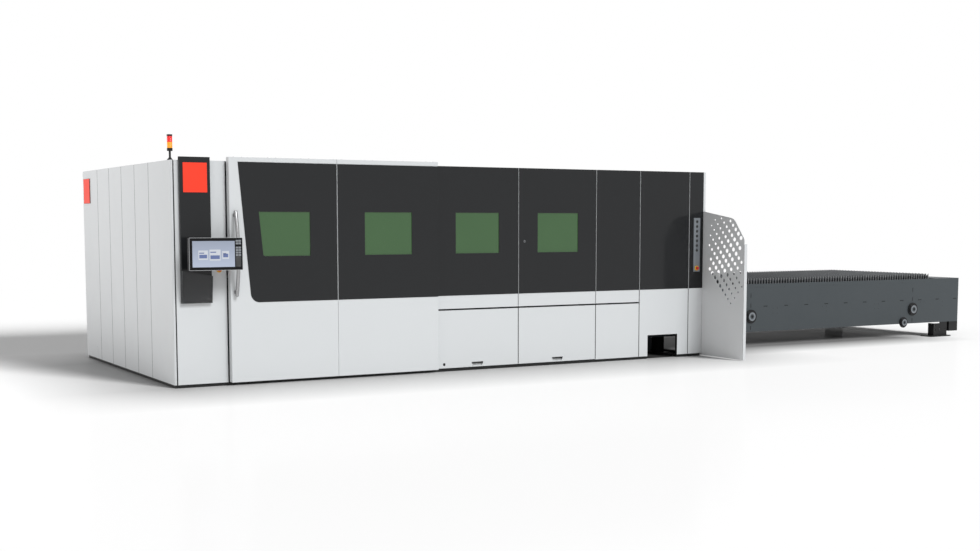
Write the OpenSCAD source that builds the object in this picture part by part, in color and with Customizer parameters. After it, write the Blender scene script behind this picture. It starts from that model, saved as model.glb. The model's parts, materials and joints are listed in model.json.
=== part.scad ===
// Fiber laser cutting machine: closed cabin with a sliding door and a two-level pallet changer.
// X runs along the machine, Y from the operator side to the rear, Z up from the floor.

/* [Cabin] */
// Length of the cabin along X
cabin_l = 7064; // [6980:1:7400]
// Depth of the cabin along Y
cabin_d = 3827; // [3700:1:4200]
// Height of the cabin walls above the floor
cabin_h = 2400; // [2360:1:2500]
// Height of the dark plinth under the walls
plinth_h = 35; // [25:1:45]
// Width of the plinth members
plinth_w = 80; // [60:1:120]
// Setback of the plinth from the wall faces
plinth_in = 15; // [8:1:25]
// Depth of a folded wall panel
panel_d = 40; // [34:1:48]
// Thickness of the folded sheet
sheet_t = 3; // [2:0.5:4]
// Open joint between neighbouring panels
seam = 4; // [3:0.5:6]
// Outer edge radius of a folded panel
edge_r = 6; // [4:0.5:8]
// Radius of the front-left vertical corner
corner_r = 20; // [12:1:28]
// Width of the corner strip left of the dark joint
corner_w = 24; // [22:1:30]
// Width of the dark joint beside the front-left corner
corner_gap = 14; // [10:1:20]
// Width of the first left wall panel
left_front_w = 825; // [760:1:900]
// Pitch of the four middle left wall panels
left_pitch = 564; // [540:1:590]

/* [Front] */
// Right edge of the front-left panel
front_left_x = 591; // [585:1:595]
// Open joint between the front panels
front_seam = 7; // [5:0.5:8]
// White lip left free on both sides of that joint by the dark plates
dark_lip = 3; // [2:0.5:4]
// Pitch of the two window panels right of the door
bay_w = 1132; // [1100:1:1150]
// Width of the narrow plain panel
narrow_w = 674; // [640:1:690]
// Width of the panel with the scrap outlet
outlet_panel_w = 790; // [760:1:820]
// Width of the scrap outlet
outlet_w = 478; // [420:1:520]
// Top of the scrap outlet
outlet_h = 305; // [280:1:330]
// Distance of the outlet from its panel's left edge
outlet_in = 137; // [110:1:160]
// Lower edge of the dark plates
dark_z = 893; // [860:1:930]
// Thickness of the dark plates
dark_t = 3; // [2:0.5:4]
// Height of the groove's centre line above the floor
groove_z = 729; // [710:1:750]
// Height of the groove
groove_h = 20; // [18:1:24]
// Lower edge of the windows
window_z = 1386; // [1350:1:1420]
// Height of a window
window_h = 480; // [440:1:500]
// Width of a window
window_w = 592; // [540:1:620]
// Thickness of a window pane
pane_t = 6; // [4:1:8]
// Hidden overlap of a pane behind its cut-out
pane_lap = 25; // [15:1:35]
// Side of a skeleton tube
post_w = 60; // [50:1:70]

/* [Sliding door] */
// Left edge of the door
door_x = 598; // [596:1:605]
// Width of the door
door_w = 2500; // [2460:1:2540]
// Lower edge of the door
door_z = 40; // [36:1:50]
// Rise of the door above the cabin walls
door_rise = 40; // [38:1:50]
// Depth of the door
door_d = 77; // [70:1:84]
// Gap between the door and the fixed front
door_gap = 20; // [16:1:24]
// Distance of the field joint from the door's left edge
leaf_seam = 1239; // [1210:1:1270]
// Distance of the dark field's upper corner from the door's left edge
dark_in = 100; // [80:1:120]
// Sideways run of the dark field's leaning edge
dark_lean = 132; // [100:1:150]
// Radius of the dark field's lower corner
dark_r = 100; // [60:1:120]
// White margin above the dark field
dark_top = 49; // [40:1:60]
// Distance of the first window from the door's left edge
window1_in = 371; // [365:1:395]
// Sideways run of the first window's leaning edge
window_lean = 46; // [30:1:60]
// Radius of the first window's lower left corner
window_r = 26; // [16:1:36]
// Distance of the second window from the door's left edge
window2_in = 1569; // [1545:1:1600]
// Height of the handle's lower end
handle_z = 971; // [930:1:1000]
// Length of the handle
handle_l = 897; // [820:1:960]
// Radius of the handle tube
handle_r = 19; // [15:1:20]
// Rise of the handle's bow between its ends
handle_bow = 70; // [60:1:75]
// Stand-off of the handle's ends from the door
handle_off = 36; // [32:1:40]
// Distance of the handle from the door's left edge
handle_in = 56; // [50:1:70]
// Radius of a hanger roller
roller_r = 30; // [26:1:34]
// Width of a hanger roller
roller_w = 24; // [20:1:28]
// Free travel of the door
door_travel = 2450; // [2300:1:2500]

/* [Flaps] */
// Depth of a flap
flap_d = 28; // [24:1:32]
// Gap under a flap
flap_gap = 5; // [4:1:8]
// Radius of the hinge pin
pin_r = 3; // [2.5:0.5:3.5]
// Outer radius of the hinge knuckle
knuckle_r = 5.5; // [5:0.5:6]
// Length of a hinge knuckle
knuckle_l = 60; // [40:1:80]
// Width of the finger dish
dish_w = 164; // [120:1:180]
// Height of the finger dish
dish_h = 42; // [34:1:50]
// Depth of the finger dish
dish_d = 22; // [16:1:23]

/* [Operator side] */
// Left edge of the operator column
column_x = 84; // [78:1:90]
// Width of the operator column
column_w = 330; // [320:1:345]
// Depth of the operator column
column_d = 45; // [38:1:52]
// Lower end of the operator column
column_z = 899; // [870:1:930]
// Rise of the column above the cabin walls
column_rise = 34; // [26:1:40]
// Height of the pocket on the column
pocket_h = 346; // [320:1:350]
// Depth of the pocket at its mouth
pocket_d = 40; // [30:1:50]
// Fall of the pocket's mouth from left to right
pocket_fall = 60; // [40:1:70]
// Width of the control panel
hmi_w = 576; // [540:1:600]
// Height of the control panel
hmi_h = 340; // [310:1:360]
// Depth of the control panel
hmi_d = 60; // [50:1:70]
// Lower edge of the control panel
hmi_z = 1252; // [1248:1:1290]
// Left edge of the control panel
hmi_x = 91; // [82:1:100]
// Distance of the control panel's front from the fixed front
hmi_reach = 300; // [290:1:320]
// Width of the control panel's dark bezel
bezel_w = 34; // [26:1:40]
// Radius of the swivel pin
swivel_r = 8; // [6:1:10]
// Side of a square accent plate
accent_w = 258; // [240:1:280]
// Height of an accent plate
accent_h = 310; // [280:1:330]
// Thickness of an accent plate
accent_t = 4; // [3:1:6]
// Left edge of the button strip, measured from the cabin's right end
strip_in = 161; // [150:1:170]
// Width of the button strip
strip_w = 102; // [92:1:110]
// Lower edge of the button strip
strip_z = 1110; // [1080:1:1140]
// Height of the button strip
strip_h = 698; // [680:1:720]
// Depth of the button strip
strip_d = 12; // [11:1:16]
// Radius of a push button
button_r = 14; // [12:1:16]
// Pitch of the push buttons
button_pitch = 62; // [56:1:66]
// Travel of a push button
button_travel = 4; // [3:0.5:5]
// Radius of a yellow stop-button base
stop_base_r = 32; // [28:1:36]
// Radius of a red stop button
stop_r = 20; // [17:1:22]
// Radius of the signal lenses
signal_r = 29; // [25:1:32]
// Height of a signal lens
lens_h = 62; // [54:1:70]

/* [Guard wing] */
// Reach of the wing in front of the cabin
wing_reach = 820; // [760:1:880]
// Height of the wing at the cabin
wing_h = 1894; // [1850:1:1940]
// Height of the wing at its upper bend
wing_bend_h = 1799; // [1780:1:1820]
// Distance of the upper bend from the cabin front
wing_bend_y = 613; // [580:1:640]
// Height of the wing's front edge
wing_low_h = 1537; // [1500:1:1560]
// Thickness of the wing plate
wing_t = 4; // [3:1:6]
// Width of the folded front edge
wing_fold = 50; // [40:1:60]
// Smallest perforation radius
hole_min = 9; // [8:0.5:11]
// Largest perforation radius
hole_max = 25; // [20:0.5:26]

/* [Pallet changer] */
// Distance of the near cheek from the cabin front
cheek_y = 520; // [500:1:540]
// Width over both cheeks
changer_w = 2320; // [2280:1:2340]
// Lower edge of the cheeks
cheek_z = 221; // [205:1:235]
// Upper edge of the cheeks
cheek_top = 893; // [880:1:900]
// Thickness of the cheeks
cheek_t = 8; // [6:1:10]
// Gap between the cabin and the outer pallet
pallet_out = 866; // [840:1:900]
// Length of the changer past the outer pallet
changer_tail = 508; // [480:1:540]
// Number of slats on a pallet
slat_count = 81; // [70:1:81]
// Pitch of the slats
slat_pitch = 50.75; // [50:0.25:50.75]
// Thickness of a slat
slat_t = 4; // [3:0.5:5]
// Height of a slat
slat_h = 106; // [96:1:110]
// Depth of the teeth on a slat
tooth_h = 34; // [24:1:40]
// Number of teeth on a slat
tooth_n = 5; // [4:1:6]
// Height difference of the two rail levels
level_h = 300; // [295:1:320]
// Top of the upper rails
rail_z = 740; // [735:1:750]
// Width of a rail
rail_w = 72; // [66:1:76]
// Thickness of a rail
rail_t = 12; // [10:1:14]
// Radius of a pallet wheel
wheel_r = 50; // [46:1:52]
// Width of a pallet wheel
wheel_w = 40; // [36:1:44]
// Radius of a pallet axle
axle_r = 12; // [10:1:14]
// Height of a pallet frame
pallet_h = 100; // [96:1:104]
// Width of a pallet frame's side beams
pallet_beam = 60; // [50:1:64]
// Radius of the large hubs on the cheeks
hub_r = 97; // [88:1:104]
// Radius of the small hub on the cheek
hub_small_r = 80; // [70:1:84]
// Stand-off of the hubs from the cheek
hub_d = 34; // [28:1:44]
// Distance of the first hub from the outer pallet's left end
hub_in = 428; // [400:1:450]
// Distance between the two large hubs
hub_pitch = 3198; // [3100:1:3300]
// Pitch of the tab slots in the cheeks
tab_pitch = 385; // [370:1:390]

/* [Motion system] */
// Left end of the inner pallet
inner_x = 1080; // [1070:1:1110]
// Width of a longitudinal beam
beam_w = 160; // [140:1:170]
// Gap between a longitudinal beam and the changer's cheek line
beam_gap = 60; // [58:1:70]
// Top of the longitudinal beams
beam_top = 1000; // [990:1:1010]
// Height of the guide rails
guide_h = 30; // [26:1:34]
// Width of the guide rails
guide_w = 40; // [34:1:46]
// Width of the gantry beam
gantry_w = 260; // [230:1:290]
// Height of the gantry beam
gantry_h = 300; // [280:1:330]
// Clear height under the gantry beam
gantry_z = 1180; // [1170:1:1220]
// Height of the nozzle tip at rest
nozzle_z = 1004; // [1001:1:1015]
// Radius of the lift columns
lift_r = 20; // [16:1:22]
// Radius of the conveyor drums
drum_r = 82; // [70:1:86]
// Width of the conveyor belt
belt_w = 900; // [800:1:1000]
// Thickness of the conveyor belt
belt_t = 6; // [5:1:8]
// Inner radius of the exhaust collar
exhaust_r = 125; // [100:1:140]

// Distance of the scrap bin behind the near cheek
bin_in = 190; // [180:1:220]
// Distance of the scrap bin from the cabin's right end
bin_tail = 164; // [150:1:180]
// Depth of the scrap bin
bin_d = 1500; // [1300:1:1600]
// Height of the scrap bin's walls
bin_h = 160; // [120:1:180]

/* [Clearances] */
// Running clearance of a shaft in its bore
run = 0.05; // [0.03:0.01:0.09]
// Gap between parts that slide past each other
slide = 0.3; // [0.2:0.05:0.5]

/* [Hidden] */
$fn = 48;
white = "gainsboro";
dark = "#333537";
slate = "#50575b";
steel = "silver";
black = "#1c1d1e";
eps = 1;
// Rounding arcs cross their edges by this much
arc_lap = 0.05;

// Front layout from the door to the right end
door_end = door_x + door_w;
jamb_x = door_end - 23;
bay0_x = door_end + 9;
bay1_x = bay0_x + bay_w;
bay2_x = bay1_x + bay_w;
bay3_x = bay2_x + narrow_w;
bay4_x = bay3_x + outlet_panel_w;
groove_lo = groove_z - groove_h / 2;
groove_hi = groove_z + groove_h / 2;
door_back = -door_gap;
door_front = door_back - door_d;
door_top = cabin_h + door_rise;
outlet_x = bay3_x + outlet_in;
flap1_x = door_end + seam;
window3_x = (bay0_x + bay1_x - window_w) / 2;
window4_x = (bay1_x + bay2_x - window_w) / 2;

// Overhead track behind the top of the front panels
header_h = 60;
track_h = 100;
track_w = 86;
track_t = 4;
track_z = cabin_h - track_h;
track_x = door_x + 17;
track_end = door_end + door_travel + 150;
roof_y = panel_d + track_w + seam;
roller_y = panel_d + 44;
roller_z = track_z + track_t + roller_r + slide;
roller_axle_r = 10;
hanger_t = 8;
hanger_in = 320;
hanger_w = 120;
rollers_x = [door_x + hanger_in, door_end - hanger_in];

// Operator side
hmi_cx = hmi_x + hmi_w / 2 - 39;
hmi_cz = hmi_z + hmi_h / 2;
swivel_y = -hmi_reach + hmi_d + 50;
swivel_half = 30;
hmi_rim = 8;
hmi_recess = 3;
key_w = 44;
lug_t = 12;
lug_w = 36;
strip_x = cabin_l - strip_in;
strip_front = -dark_t - strip_d;
button_z = [for (i = [0:6]) strip_z + strip_h - 49 - i * button_pitch];
button_proud = 6;
button_l = strip_d + button_proud - button_travel - 1;
stop_base_t = 8;
stop_stem_r = 12;
stop_z = strip_z + 45;
panel_stop_x = column_x + column_w + 93;
panel_stop_z = 1250;
mast_x = 39;
mast_y = 125;
mast_rise = 96;
mast_z = cabin_h + mast_rise;
lens_z = mast_z + 30;

// Pallet changer
table_mid = cheek_y + changer_w / 2;
pallet_gap = 100;
pallet_y = cheek_y + pallet_gap;
pallet_w = changer_w - 2 * pallet_gap;
pallet_end = 62;
pallet_l = (slat_count - 1) * slat_pitch + slat_t + 2 * pallet_end - 70;
outer_x = cabin_l + pallet_out;
pallet_z = rail_z + 20;
pallet_top = pallet_z + pallet_h;
axle_z = rail_z + wheel_r + slide;
axle_in = 270;
changer_end = outer_x + pallet_l + changer_tail;
cradle_x = inner_x - 20;
cradle_end = inner_x + pallet_l + 110;
changer_x = cradle_end + 10;
hub_x = [outer_x + hub_in, outer_x + hub_in + hub_pitch];
hub_z = 438;
hub_small_x = hub_x[1] - 193;
hub_small_z = 244;
tab_first = outer_x + 699;
leg_x = [cabin_l - 279, outer_x + pallet_l + 90];
leg_w = 120;
end_leg_w = 290;
end_leg_in = -105;
foot_plate_t = 15;
foot_plate_d = 220;
anchor_r = 9;

// Entry for the pallets in the end wall
entry_y = cheek_y - 20;
entry_w = changer_w + 40;
entry_h = 1230;
shutter_t = 6;
shutter_x = cabin_l - panel_d - 18;
shutter_h = 900;
shutter_lap = 20;
guide_d = 14;
partition_t = 16;

// Motion system
beam_y = cheek_y - beam_gap - beam_w;
beam_x = front_left_x;
beam_end = changer_x + 590;
beam_z = 200;
beam_t = 20;
cross_z = 30;
cross_h = 60;
foot_w = 220;
foot_in = 100;
guide_y = beam_y + beam_w / 2;
guide_top = beam_top + guide_h;
gantry_x = inner_x - 300;
gantry_face = gantry_x + gantry_w;
way_w = 22;
way_z = [gantry_z + 60, gantry_z + gantry_h - 60];
carriage_y = cheek_y + 150;
carriage_w = 240;
carriage_t = 46;
head_x = gantry_face + way_w + slide + carriage_t;
head_w = 110;
slide_w = 60;
slide_d = 24;
lift_x = [inner_x + 220, inner_x + pallet_l - 290];
lift_y = cheek_y - beam_gap / 2;
cradle_t = 8;
belt_mid = table_mid;
belt_z = 229;
belt_x = inner_x - 90;
belt_end = changer_x + 700;
belt_skin = drum_r + slide;
drum_shaft_r = 20;
conveyor_t = 8;
conveyor_end = 110;
conveyor_y = belt_mid - belt_w / 2 - 10 - conveyor_t;
drum_l = belt_w - 20;

// Overall box
x_low = -accent_t;
y_low = -wing_reach;
x_mid = (x_low + changer_end) / 2;
y_mid = (y_low + cabin_d) / 2;

// Shared shapes

// Plan of a folded panel: outer face on y = 0, rounded at both outer corners
module panel_plan(w, d, r0, r1) {
  translate([0, r0]) square([w / 2, d - r0]);
  translate([w / 2, r1]) square([w / 2, d - r1]);
  translate([r0, 0]) square([w / 2 - r0, d]);
  translate([w / 2, 0]) square([w / 2 - r1, d]);
  intersection() {
    translate([r0, r0]) circle(r0);
    square([w / 2, d]);
  }
  translate([w - r1, r1]) circle(r1);
}

// Folded sheet panel, w wide and h high, open at the back
module tray(w, h, d = panel_d, r0 = edge_r, r1 = edge_r) {
  difference() {
    linear_extrude(h) panel_plan(w, d, r0, r1);
    translate([sheet_t + r0 / 3, sheet_t + r0 / 3, sheet_t])
      cube([w - 2 * sheet_t - (r0 + r1) / 3, d, h - 2 * sheet_t]);
  }
}

// Upright plate from an outline in X and Z, its front face on y
module upright(y, t) {
  translate([0, y + t, 0]) rotate([90, 0, 0]) linear_extrude(t) children();
}

// Cylinder along Y from y0 to y1
module rod_y(r, y0, y1) {
  translate([0, y0, 0]) rotate([-90, 0, 0]) cylinder(r = r, h = y1 - y0);
}

// Cylinder along X from x0 to x1
module rod_x(r, x0, x1) {
  translate([x0, 0, 0]) rotate([0, 90, 0]) cylinder(r = r, h = x1 - x0);
}

// Copies on both sides of the pallet line
module both_sides() {
  children();
  translate([0, 2 * table_mid, 0]) mirror([0, 1, 0]) children();
}

function unit(v) = v / norm(v);

// Waste to cut from the corner b between the edges to a and c, leaving radius r
module corner_waste(a, b, c, r) {
  u = unit(a - b);
  v = unit(c - b);
  half = acos(u * v) / 2;
  centre = b + unit(u + v) * r / sin(half);
  reach = r / tan(half);
  difference() {
    polygon([b - unit(u + v) * eps, b + u * reach, centre, b + v * reach]);
    translate(centre) circle(r + arc_lap, $fn = 64);
  }
}

module rounded_rect(w, h, r) {
  translate([r, 0]) square([w - 2 * r, h]);
  translate([0, r]) square([w, h - 2 * r]);
  for (x = [r, w - r], z = [r, h - r]) translate([x, z]) circle(r);
}

// Cabin

module base_plinth() {
  inner = plinth_in + plinth_w;
  color(black) difference() {
    translate([plinth_in, plinth_in, 0])
      cube([cabin_l - 2 * plinth_in, cabin_d - 2 * plinth_in, plinth_h]);
    translate([inner, inner, -eps])
      cube([cabin_l - 2 * inner, cabin_d - 2 * inner, plinth_h + 2 * eps]);
    translate([outlet_x, -eps, -eps]) cube([outlet_w, inner + 2 * eps, plinth_h + 2 * eps]);
  }
}

module left_wall_panels() {
  wall_h = cabin_h - plinth_h;
  first = left_front_w;
  last = first + 4 * left_pitch;
  color(white) translate([0, 0, plinth_h]) mirror([1, -1, 0]) {
    tray(first - seam / 2, wall_h, d = corner_w, r0 = corner_r);
    for (i = [0:3])
      translate([first + i * left_pitch + seam / 2, 0, 0]) tray(left_pitch - seam, wall_h);
    translate([last + seam / 2, 0, 0]) tray(cabin_d - last - seam / 2, wall_h);
  }
}

// Hinge of one flap: pin between two lugs on the groove rail
module flap_pin(x) {
  lug = 10;
  translate([x, 0, groove_z]) {
    translate([0, knuckle_r + 0.5, 0]) rod_x(pin_r, -lug - slide, knuckle_l + lug + slide);
    for (s = [-lug - slide, knuckle_l + slide])
      translate([s, 0.5, -knuckle_r]) cube([lug, panel_d - 0.5, 2 * knuckle_r]);
  }
}

function knuckles_x(x0, x1) = [x0 + 160, x1 - 160 - knuckle_l];

module front_frame() {
  low = plinth_h;
  rail_top = track_z;
  posts = [panel_d, front_left_x - post_w, jamb_x, bay1_x - post_w / 2, bay2_x - post_w / 2,
    bay3_x - post_w / 2, bay4_x - post_w / 2, cabin_l - panel_d - post_w];
  color(black) {
    for (x = posts) translate([x, panel_d, low]) cube([post_w, post_w, rail_top - low]);
    translate([corner_w, panel_d / 3, low]) cube([corner_gap, panel_d, rail_top - low]);
    translate([corner_w, panel_d, low]) cube([post_w, panel_d / 3, rail_top - low]);
    translate([panel_d, panel_d, rail_top - header_h])
      cube([cabin_l - 2 * panel_d, track_w, header_h]);
    translate([panel_d, panel_d, rail_top]) cube([track_x - panel_d - seam, track_w, track_h]);
    translate([track_end + seam, panel_d, rail_top])
      cube([cabin_l - panel_d - track_end - seam, track_w, track_h]);
    translate([jamb_x, panel_d, groove_z - post_w / 2]) cube([bay3_x - jamb_x, post_w, post_w]);
    for (x = concat(knuckles_x(flap1_x, bay1_x), knuckles_x(bay1_x, bay2_x))) flap_pin(x);
  }
}

module window_cut(x, w) {
  translate([x, -eps, window_z]) cube([w, sheet_t + edge_r, window_h]);
}

module front_panels() {
  full_h = cabin_h - plinth_h;
  upper_h = cabin_h - groove_hi;
  left_x = corner_w + corner_gap;
  color(white) {
    difference() {
      translate([left_x, 0, plinth_h]) tray(front_left_x - left_x, full_h);
      translate([panel_stop_x, 0, panel_stop_z]) rod_y(stop_stem_r + slide, -eps, panel_d + eps);
    }
    difference() {
      translate([jamb_x, 0, groove_hi]) tray(bay1_x - front_seam / 2 - jamb_x, upper_h);
      window_cut(window3_x, window_w);
    }
    difference() {
      translate([bay1_x + front_seam / 2, 0, groove_hi]) tray(bay_w - front_seam, upper_h);
      window_cut(window4_x, window_w);
    }
    translate([bay2_x + front_seam / 2, 0, groove_hi]) tray(narrow_w - front_seam, upper_h);
    translate([bay2_x + front_seam / 2, 0, plinth_h])
      tray(narrow_w - front_seam, groove_lo - plinth_h);
    difference() {
      union() {
        translate([bay3_x + front_seam / 2, 0, plinth_h])
          tray(outlet_panel_w - front_seam, full_h);
        translate([outlet_x - sheet_t, 0, plinth_h])
          cube([outlet_w + 2 * sheet_t, panel_d, outlet_h - plinth_h + sheet_t]);
      }
      translate([outlet_x, -eps, 0]) cube([outlet_w, panel_d + 2 * eps, outlet_h]);
    }
    translate([bay4_x + front_seam / 2, 0, plinth_h])
      tray(cabin_l - bay4_x - front_seam / 2, full_h);
  }
}

module front_dark_plates() {
  edge = front_seam / 2 + dark_lip;
  edges = [door_end - 8, bay1_x, bay2_x, bay3_x, bay4_x, cabin_l + edge];
  color(dark) difference() {
    for (i = [0:len(edges) - 2])
      translate([edges[i] + edge, -dark_t, dark_z])
        cube([edges[i + 1] - edges[i] - 2 * edge, dark_t, cabin_h - dark_z]);
    for (x = [window3_x, window4_x])
      translate([x, -dark_t - eps, window_z]) cube([window_w, dark_t + 2 * eps, window_h]);
  }
}

module pane(x, w, y) {
  translate([x - pane_lap, y, window_z - pane_lap])
    cube([w + 2 * pane_lap, pane_t, window_h + 2 * pane_lap]);
}

module fixed_windows() {
  color("darkseagreen") for (x = [window3_x, window4_x]) pane(x, window_w, sheet_t + edge_r / 3);
}

module roof_panels() {
  count = 5;
  pitch = (cabin_l - 2 * panel_d + seam) / count;
  color(white) for (i = [0:count - 1])
    translate([panel_d + i * pitch, roof_y, cabin_h]) rotate([-90, 0, 0])
      tray(pitch - seam, cabin_d - panel_d - roof_y);
}

module rear_wall_panels() {
  count = 5;
  pitch = (cabin_l - 2 * panel_d + seam) / count;
  mid = panel_d + 2.5 * pitch;
  exhaust_z = 620;
  collar = 10;
  color(white) {
    difference() {
      for (i = [0:count - 1])
        translate([panel_d + i * pitch, cabin_d, plinth_h]) mirror([0, 1, 0])
          tray(pitch - seam, cabin_h - plinth_h);
      translate([mid, 0, exhaust_z]) rod_y(exhaust_r + collar, cabin_d - panel_d - eps, cabin_d + eps);
    }
    translate([mid, 0, exhaust_z]) difference() {
      rod_y(exhaust_r + collar, cabin_d - 2 * panel_d, cabin_d);
      rod_y(exhaust_r, cabin_d - 2 * panel_d - eps, cabin_d + eps);
    }
  }
}

module end_wall() {
  low = panel_d + seam;
  wall_w = cabin_d - panel_d - seam - low;
  channel = shutter_lap + guide_d;
  color(white) {
    difference() {
      union() {
        translate([cabin_l, low, plinth_h]) rotate(90) tray(wall_w, cabin_h - plinth_h);
        translate([cabin_l - panel_d, entry_y - sheet_t, plinth_h])
          cube([panel_d, entry_w + 2 * sheet_t, entry_h - plinth_h + sheet_t]);
      }
      translate([cabin_l - panel_d - eps, entry_y, 0]) cube([panel_d + 2 * eps, entry_w, entry_h]);
    }
    for (side = [0, 1]) translate([0, side * 2 * table_mid, 0]) mirror([0, side, 0])
      translate([shutter_x - guide_d / 2, entry_y - channel, cheek_top + seam]) difference() {
        cube([cabin_l - panel_d - shutter_x + guide_d / 2, channel, cabin_h - 2 * panel_d - cheek_top]);
        translate([guide_d / 2 - slide, guide_d - slide, -eps])
          cube([shutter_t + 2 * slide, channel, cabin_h]);
      }
  }
}

module entry_shutter() {
  color(slate) difference() {
    translate([shutter_x, entry_y - shutter_lap, entry_h + 20])
      cube([shutter_t, entry_w + 2 * shutter_lap, shutter_h]);
    for (i = [1:5])
      translate([shutter_x - eps, entry_y + 60, entry_h + 20 + i * 150])
        cube([eps + 2, entry_w - 120, 10]);
  }
}

module partition_wall() {
  color(white) translate([front_left_x - partition_t, panel_d + post_w, plinth_h])
    cube([partition_t, cabin_d - 2 * panel_d - post_w, track_z - header_h - plinth_h]);
}

module guard_wing() {
  bend_r = 150;
  tip_r = 60;
  foot = 10;
  back = panel_d + 80;
  head = [0, wing_h];
  bend = [-wing_bend_y, wing_bend_h];
  tip = [-wing_reach, wing_low_h];
  rows = 9;
  step_a = [-52.4, -53.5];
  step_b = [18.9, -126.9];
  start = [-436, 1441];
  heart = [-480, 1370];
  fade = 560;
  border = 40;
  back_edge = -105;
  low_edge = 700;
  function edge_top(y) = -y < wing_bend_y ? wing_h + (wing_bend_h - wing_h) * -y / wing_bend_y
    : wing_bend_h + (wing_low_h - wing_bend_h) * (-y - wing_bend_y) / (wing_reach - wing_bend_y);
  color(white) translate([cabin_l, 0, 0]) {
    rotate([90, 0, 90]) linear_extrude(wing_t) difference() {
      polygon([[back, foot], [back, wing_h], head, bend, tip, [-wing_reach, foot]]);
      corner_waste(head, bend, tip, bend_r);
      corner_waste(bend, tip, [-wing_reach, foot], tip_r);
      for (i = [-rows:rows], j = [-rows:rows]) {
        p = start + i * step_a + j * step_b;
        away = norm([(p[0] - heart[0]) * 1.3, p[1] - heart[1]]) / fade;
        r = hole_max - (hole_max - hole_min) * away;
        wide = p[0] < back_edge && p[0] > -wing_reach + border;
        tall = p[1] > low_edge && p[1] < edge_top(p[0]) - border;
        if (wide && tall && j > -3 && j < 5 && r > hole_min / 2) translate(p) circle(r, $fn = 24);
      }
    }
    translate([0, -wing_reach, foot]) cube([wing_fold, wing_t, wing_low_h - tip_r - foot]);
  }
}

// Operator side

module operator_column() {
  top = cabin_h + column_rise;
  mouth = column_z + pocket_h;
  wall = 4;
  fall = atan(pocket_fall / column_w);
  arm_end = swivel_y + swivel_r + 12;
  color(dark) {
    translate([column_x, -column_d, column_z]) tray(column_w, top - column_z, d = column_d);
    difference() {
      translate([column_x, 0, 0]) rotate([90, 0, 90]) linear_extrude(column_w)
        polygon([[-column_d, column_z], [-column_d, mouth], [-column_d - pocket_d, mouth]]);
      translate([column_x + wall, 0, 0]) rotate([90, 0, 90]) linear_extrude(column_w - 2 * wall)
        polygon([[-column_d, column_z + 8 * wall], [-column_d, mouth + eps],
          [-column_d - pocket_d + wall, mouth + eps]]);
      translate([column_x, -column_d - 2 * pocket_d, mouth]) rotate([0, fall, 0])
        cube([2 * column_w, 2 * pocket_d, pocket_h]);
    }
    translate([hmi_cx - lug_w / 2, arm_end, hmi_cz - swivel_half - lug_t])
      cube([lug_w, -column_d - arm_end, 2 * (swivel_half + lug_t)]);
    for (z = [-swivel_half - lug_t, swivel_half])
      translate([hmi_cx - lug_w / 2, swivel_y - lug_w / 2, hmi_cz + z])
        cube([lug_w, arm_end - swivel_y + lug_w / 2, lug_t]);
    translate([hmi_cx, swivel_y, hmi_cz - swivel_half - lug_t])
      cylinder(r = swivel_r, h = 2 * (swivel_half + lug_t));
  }
}

module hmi_housing() {
  front = -hmi_reach;
  keys_x = hmi_x + hmi_w - bezel_w - key_w;
  key_pitch = 26;
  key_h = 18;
  key_break = 18;
  color(dark) difference() {
    union() {
      translate([hmi_x, front + hmi_d, hmi_z]) rotate([90, 0, 0])
        linear_extrude(hmi_d) rounded_rect(hmi_w, hmi_h, hmi_rim);
      translate([hmi_cx, swivel_y, hmi_cz - swivel_half + slide])
        cylinder(r = lug_w / 2, h = 2 * (swivel_half - slide));
      translate([hmi_cx - lug_w / 4, front + hmi_d, hmi_cz - swivel_half + slide])
        cube([lug_w / 2, swivel_y - front - hmi_d, 2 * (swivel_half - slide)]);
    }
    translate([hmi_cx, swivel_y, hmi_z]) cylinder(r = swivel_r + run, h = hmi_h);
    translate([hmi_x + bezel_w, front - eps, hmi_z + bezel_w])
      cube([keys_x - hmi_x - bezel_w - hmi_rim, hmi_recess + eps, hmi_h - 2 * bezel_w]);
    for (i = [0:5]) {
      drop = (i + 1) * key_pitch + (i > 1 ? key_break : 0);
      translate([keys_x, front - eps, hmi_z + hmi_h - bezel_w + key_pitch - key_h / 2 - drop])
        cube([key_w + bezel_w / 2, hmi_recess / 2 + eps, key_h]);
    }
  }
}

module hmi_screen() {
  color("lightsteelblue") translate([hmi_x + bezel_w, -hmi_reach + hmi_recess / 3, hmi_z + bezel_w])
    cube([hmi_w - 2 * bezel_w - key_w - hmi_rim, hmi_recess * 2 / 3, hmi_h - 2 * bezel_w]);
}

module accent_plates() {
  margin_top = 60;
  rear_in = 70;
  color("tomato") {
    translate([column_x + (column_w - accent_w) / 2, -column_d - accent_t,
      cabin_h + column_rise - margin_top - accent_h]) cube([accent_w, accent_t, accent_h]);
    translate([-accent_t, cabin_d - rear_in - accent_h, cabin_h - 100 - accent_h])
      cube([accent_t, accent_h, accent_h]);
  }
}

module button_strip() {
  color("darkgray") difference() {
    upright(strip_front, strip_d) translate([strip_x, strip_z]) rounded_rect(strip_w, strip_h, edge_r);
    for (z = button_z) translate([strip_x + strip_w / 2, 0, z])
      rod_y(button_r + slide, strip_front - eps, eps);
    translate([strip_x + strip_w / 2, 0, stop_z]) rod_y(stop_stem_r + slide, strip_front - eps, eps);
  }
}

module strip_button(i) {
  color(black) translate([strip_x + strip_w / 2, strip_front - button_proud, button_z[i - 1]])
    rotate([-90, 0, 0]) rotate_extrude() difference() {
      square([button_r, button_l]);
      translate([0, -button_r * 1.6]) circle(button_r * 1.66);
    }
}

// Yellow base ring of a stop button, its back on y
module stop_base(x, y, z) {
  translate([x, 0, z]) difference() {
    rod_y(stop_base_r, y - stop_base_t, y);
    rod_y(stop_stem_r + slide, y - stop_base_t - eps, y + eps);
  }
}

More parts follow.
